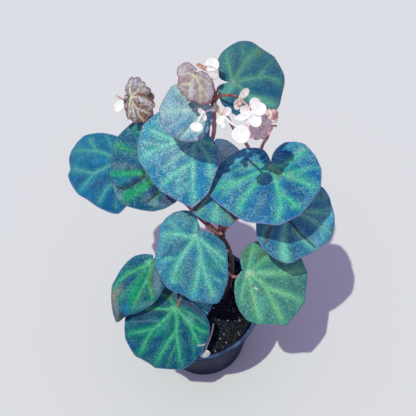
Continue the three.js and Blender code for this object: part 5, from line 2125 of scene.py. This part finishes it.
@dataclass
class SoilBed:
    """Crumbly soil that fills the pot, with crumbs, bark chips and white perlite on it.

    Its top swells in lumps and smaller crumbles, and sink lowers it to keep them under the CAD's top.
    """

    pot: Pot
    top: float = 80.0
    sink: float = 0.2
    lump: float = 0.7
    lump_size: float = 9.0
    lump_seed: float = 1.7
    crumble: float = 0.5
    crumble_size: float = 2.6
    crumble_seed: float = 4.1
    clearance: float = 0.5
    floor_gap: float = 0.3
    steps: tuple[int, int] = (180, 60)
    seed: int = 11
    margin: float = 1.2
    strew_depth: float = 2.0
    bury: float = 0.2
    rough: Span = (0.75, 1.2)
    grains: tuple[Grains, ...] = (
        Grains("soil_crumbs", 620, (0.5, 1.3), GroundFinish.CRUMB, (1.0, 1.0)),
        Grains("bark_chips", 60, (0.6, 1.2), GroundFinish.BARK_CHIP, (1.4, 3.0)),
        Grains("perlite_grains", 90, (0.35, 0.95), GroundFinish.PERLITE, (1.0, 1.3)),
        Grains("grit_grains", 900, (0.14, 0.3), GroundFinish.GRIT, (1.0, 1.6)),
    )

    def rim(self, z: float) -> float:
        """Gives the radius of the plug at a height."""
        return self.pot.outer(z) - self.pot.wall - self.clearance

    def height(self, x: float, y: float) -> float:
        """Gives the height of the lumpy top over a spot.

        Args:
            x: Distance along X.
            y: Distance along Y.

        Returns:
            The height.
        """
        lumps = noise.noise(Vector((x / self.lump_size, y / self.lump_size, self.lump_seed)))
        crumbles = noise.noise(Vector((x / self.crumble_size, y / self.crumble_size, self.crumble_seed)))
        return self.top + self.lump * lumps + self.crumble * crumbles - self.sink

    def bed(self) -> Piece:
        """Builds and dresses the soil itself.

        Returns:
            The piece.
        """
        bm = polar_disc(*self.steps)
        shoulder = self.rim(self.pot.height - self.pot.band_drop)
        for vert in bm.verts:
            x, y = vert.co.x * shoulder, vert.co.y * shoulder
            vert.co = (x, y, self.height(x, y))
        rim = [edge for edge in bm.edges if edge.is_boundary]
        wall = bmesh.ops.extrude_edge_only(bm, edges=rim)["geom"]
        foot = self.pot.floor + self.floor_gap
        for item in wall:
            if isinstance(item, Corner):
                scale = self.rim(foot) / math.hypot(item.co.x, item.co.y)
                item.co = (item.co.x * scale, item.co.y * scale, foot)
        bmesh.ops.contextual_create(bm, geom=[edge for edge in bm.edges if edge.is_boundary])
        bmesh.ops.recalc_face_normals(bm, faces=bm.faces)
        return dressed(make_object(bm, "soil_bed", GroundFinish.SOIL.value.material()), "soil", "soil")

    def scatter(self, grains: Grains) -> Piece:
        """Strews rough grains over the soil.

        Args:
            grains: The kind of grain.

        Returns:
            The piece.
        """
        dice = random.Random(f"{self.seed} {grains.name}")
        bm = bmesh.new()
        reach = self.rim(self.top - self.strew_depth) - self.margin
        for _ in range(grains.count):
            away = reach * math.sqrt(dice.random())
            turn = dice.uniform(0, math.tau)
            x, y = away * math.cos(turn), away * math.sin(turn)
            radius = dice.uniform(*grains.size)
            place = Matrix.Translation((x, y, self.height(x, y) + radius * self.bury))
            place = place @ Euler([dice.uniform(0, math.tau) for _ in range(3)]).to_matrix().to_4x4()
            verts = bmesh.ops.create_icosphere(bm, subdivisions=1, radius=radius)["verts"]
            stretch = dice.uniform(*grains.long)
            for vert in verts:
                vert.co = vert.co * dice.uniform(*self.rough)
                vert.co.x *= stretch
            bmesh.ops.transform(bm, matrix=place, verts=verts)
        made = make_object(bm, grains.name, grains.finish.value.material(), smooth=False)
        return dressed(made, "soil")

    def build(self) -> list[Piece]:
        """Builds and dresses the soil and what lies on it."""
        return [self.bed(), *(self.scatter(grains) for grains in self.grains)]


@dataclass
class Studio:
    """Plain pale floor, soft light from the upper left and the camera at the photograph's angle."""

    focal_px: float = 600.0
    frame_px: float = 416.0
    sensor: float = 36.0
    camera_at: Point = (20, -261, 606)
    pitch: float = 54.7
    roll: float = -6.9
    sunward: Point = (-0.27, -0.18, 1.0)
    sun_strength: float = 2.28
    sun_width: float = 0.9
    sun_colour: Colour = (0.94, 1.0, 0.81)
    sky_colour: Colour = (0.7, 0.65, 1.0)
    sky_strength: float = 0.5
    floor_size: float = 4000.0
    floor_colour: Colour = (0.72, 0.72, 0.74)
    floor_roughness: float = 0.9

    def floor(self) -> None:
        """Lays the floor."""
        bm = bmesh.new()
        bmesh.ops.create_grid(bm, x_segments=1, y_segments=1, size=self.floor_size)
        shader = Shader("pale_floor")
        shader.set(Base_Color=self.floor_colour, Roughness=self.floor_roughness)
        make_object(bm, "floor", shader.material)

    def camera(self) -> None:
        """Sets up the camera."""
        data = bpy.data.cameras.new("camera")
        data.sensor_width = self.sensor
        data.lens = self.sensor * self.focal_px / self.frame_px
        made = bpy.data.objects.new("camera", data)
        bpy.context.scene.collection.objects.link(made)
        pitch, roll = math.radians(self.pitch), math.radians(self.roll)
        forward = Vector((0, math.cos(pitch), -math.sin(pitch)))
        right = Vector((1, 0, 0))
        up = right.cross(forward)
        tilted = math.cos(roll) * right + math.sin(roll) * up
        upright = -math.sin(roll) * right + math.cos(roll) * up
        basis = Matrix((tilted, upright, -forward)).transposed().to_4x4()
        made.matrix_world = Matrix.Translation(Vector(self.camera_at) * MM) @ basis
        bpy.context.scene.camera = made

    def lights(self) -> None:
        """Sets up the sun and the soft sky."""
        data = bpy.data.lights.new("key", "SUN")
        data.energy = self.sun_strength
        data.angle = math.radians(self.sun_width)
        data.color = self.sun_colour
        key = bpy.data.objects.new("key", data)
        key.rotation_euler = Vector(self.sunward).to_track_quat("Z", "Y").to_euler()
        bpy.context.scene.collection.objects.link(key)
        world = bpy.data.worlds.new("studio")
        world.use_nodes = True
        background = world.node_tree.nodes["Background"]
        background.inputs["Color"].default_value = (*self.sky_colour, 1.0)
        background.inputs["Strength"].default_value = self.sky_strength
        bpy.context.scene.world = world
        bpy.context.scene.view_settings.view_transform = "Standard"

    def build(self) -> None:
        """Builds the studio."""
        self.floor()
        self.camera()
        self.lights()


def main() -> None:
    """Builds the studio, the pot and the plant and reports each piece."""
    logging.basicConfig(level=logging.INFO, format="%(message)s")
    Studio().build()
    pot = Pot()
    pieces = [pot.build(), *SoilBed(pot).build()]
    under = UNDERSIDE.material()
    blades: dict[str, Blade] = {blade.node: blade for blade in (*LEAVES, *YOUNG_LEAVES)}
    pieces += [blade.build(under) for blade in blades.values()]
    pieces.append(Stems().build(blades))
    pieces += [spray.build() for spray in SPRAYS]
    pieces.append(FallenFlower().build())
    for piece in pieces:
        log.info("%s: %d faces", piece.name, len(piece.data.polygons))
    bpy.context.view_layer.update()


if __name__ == "__main__":
    main()
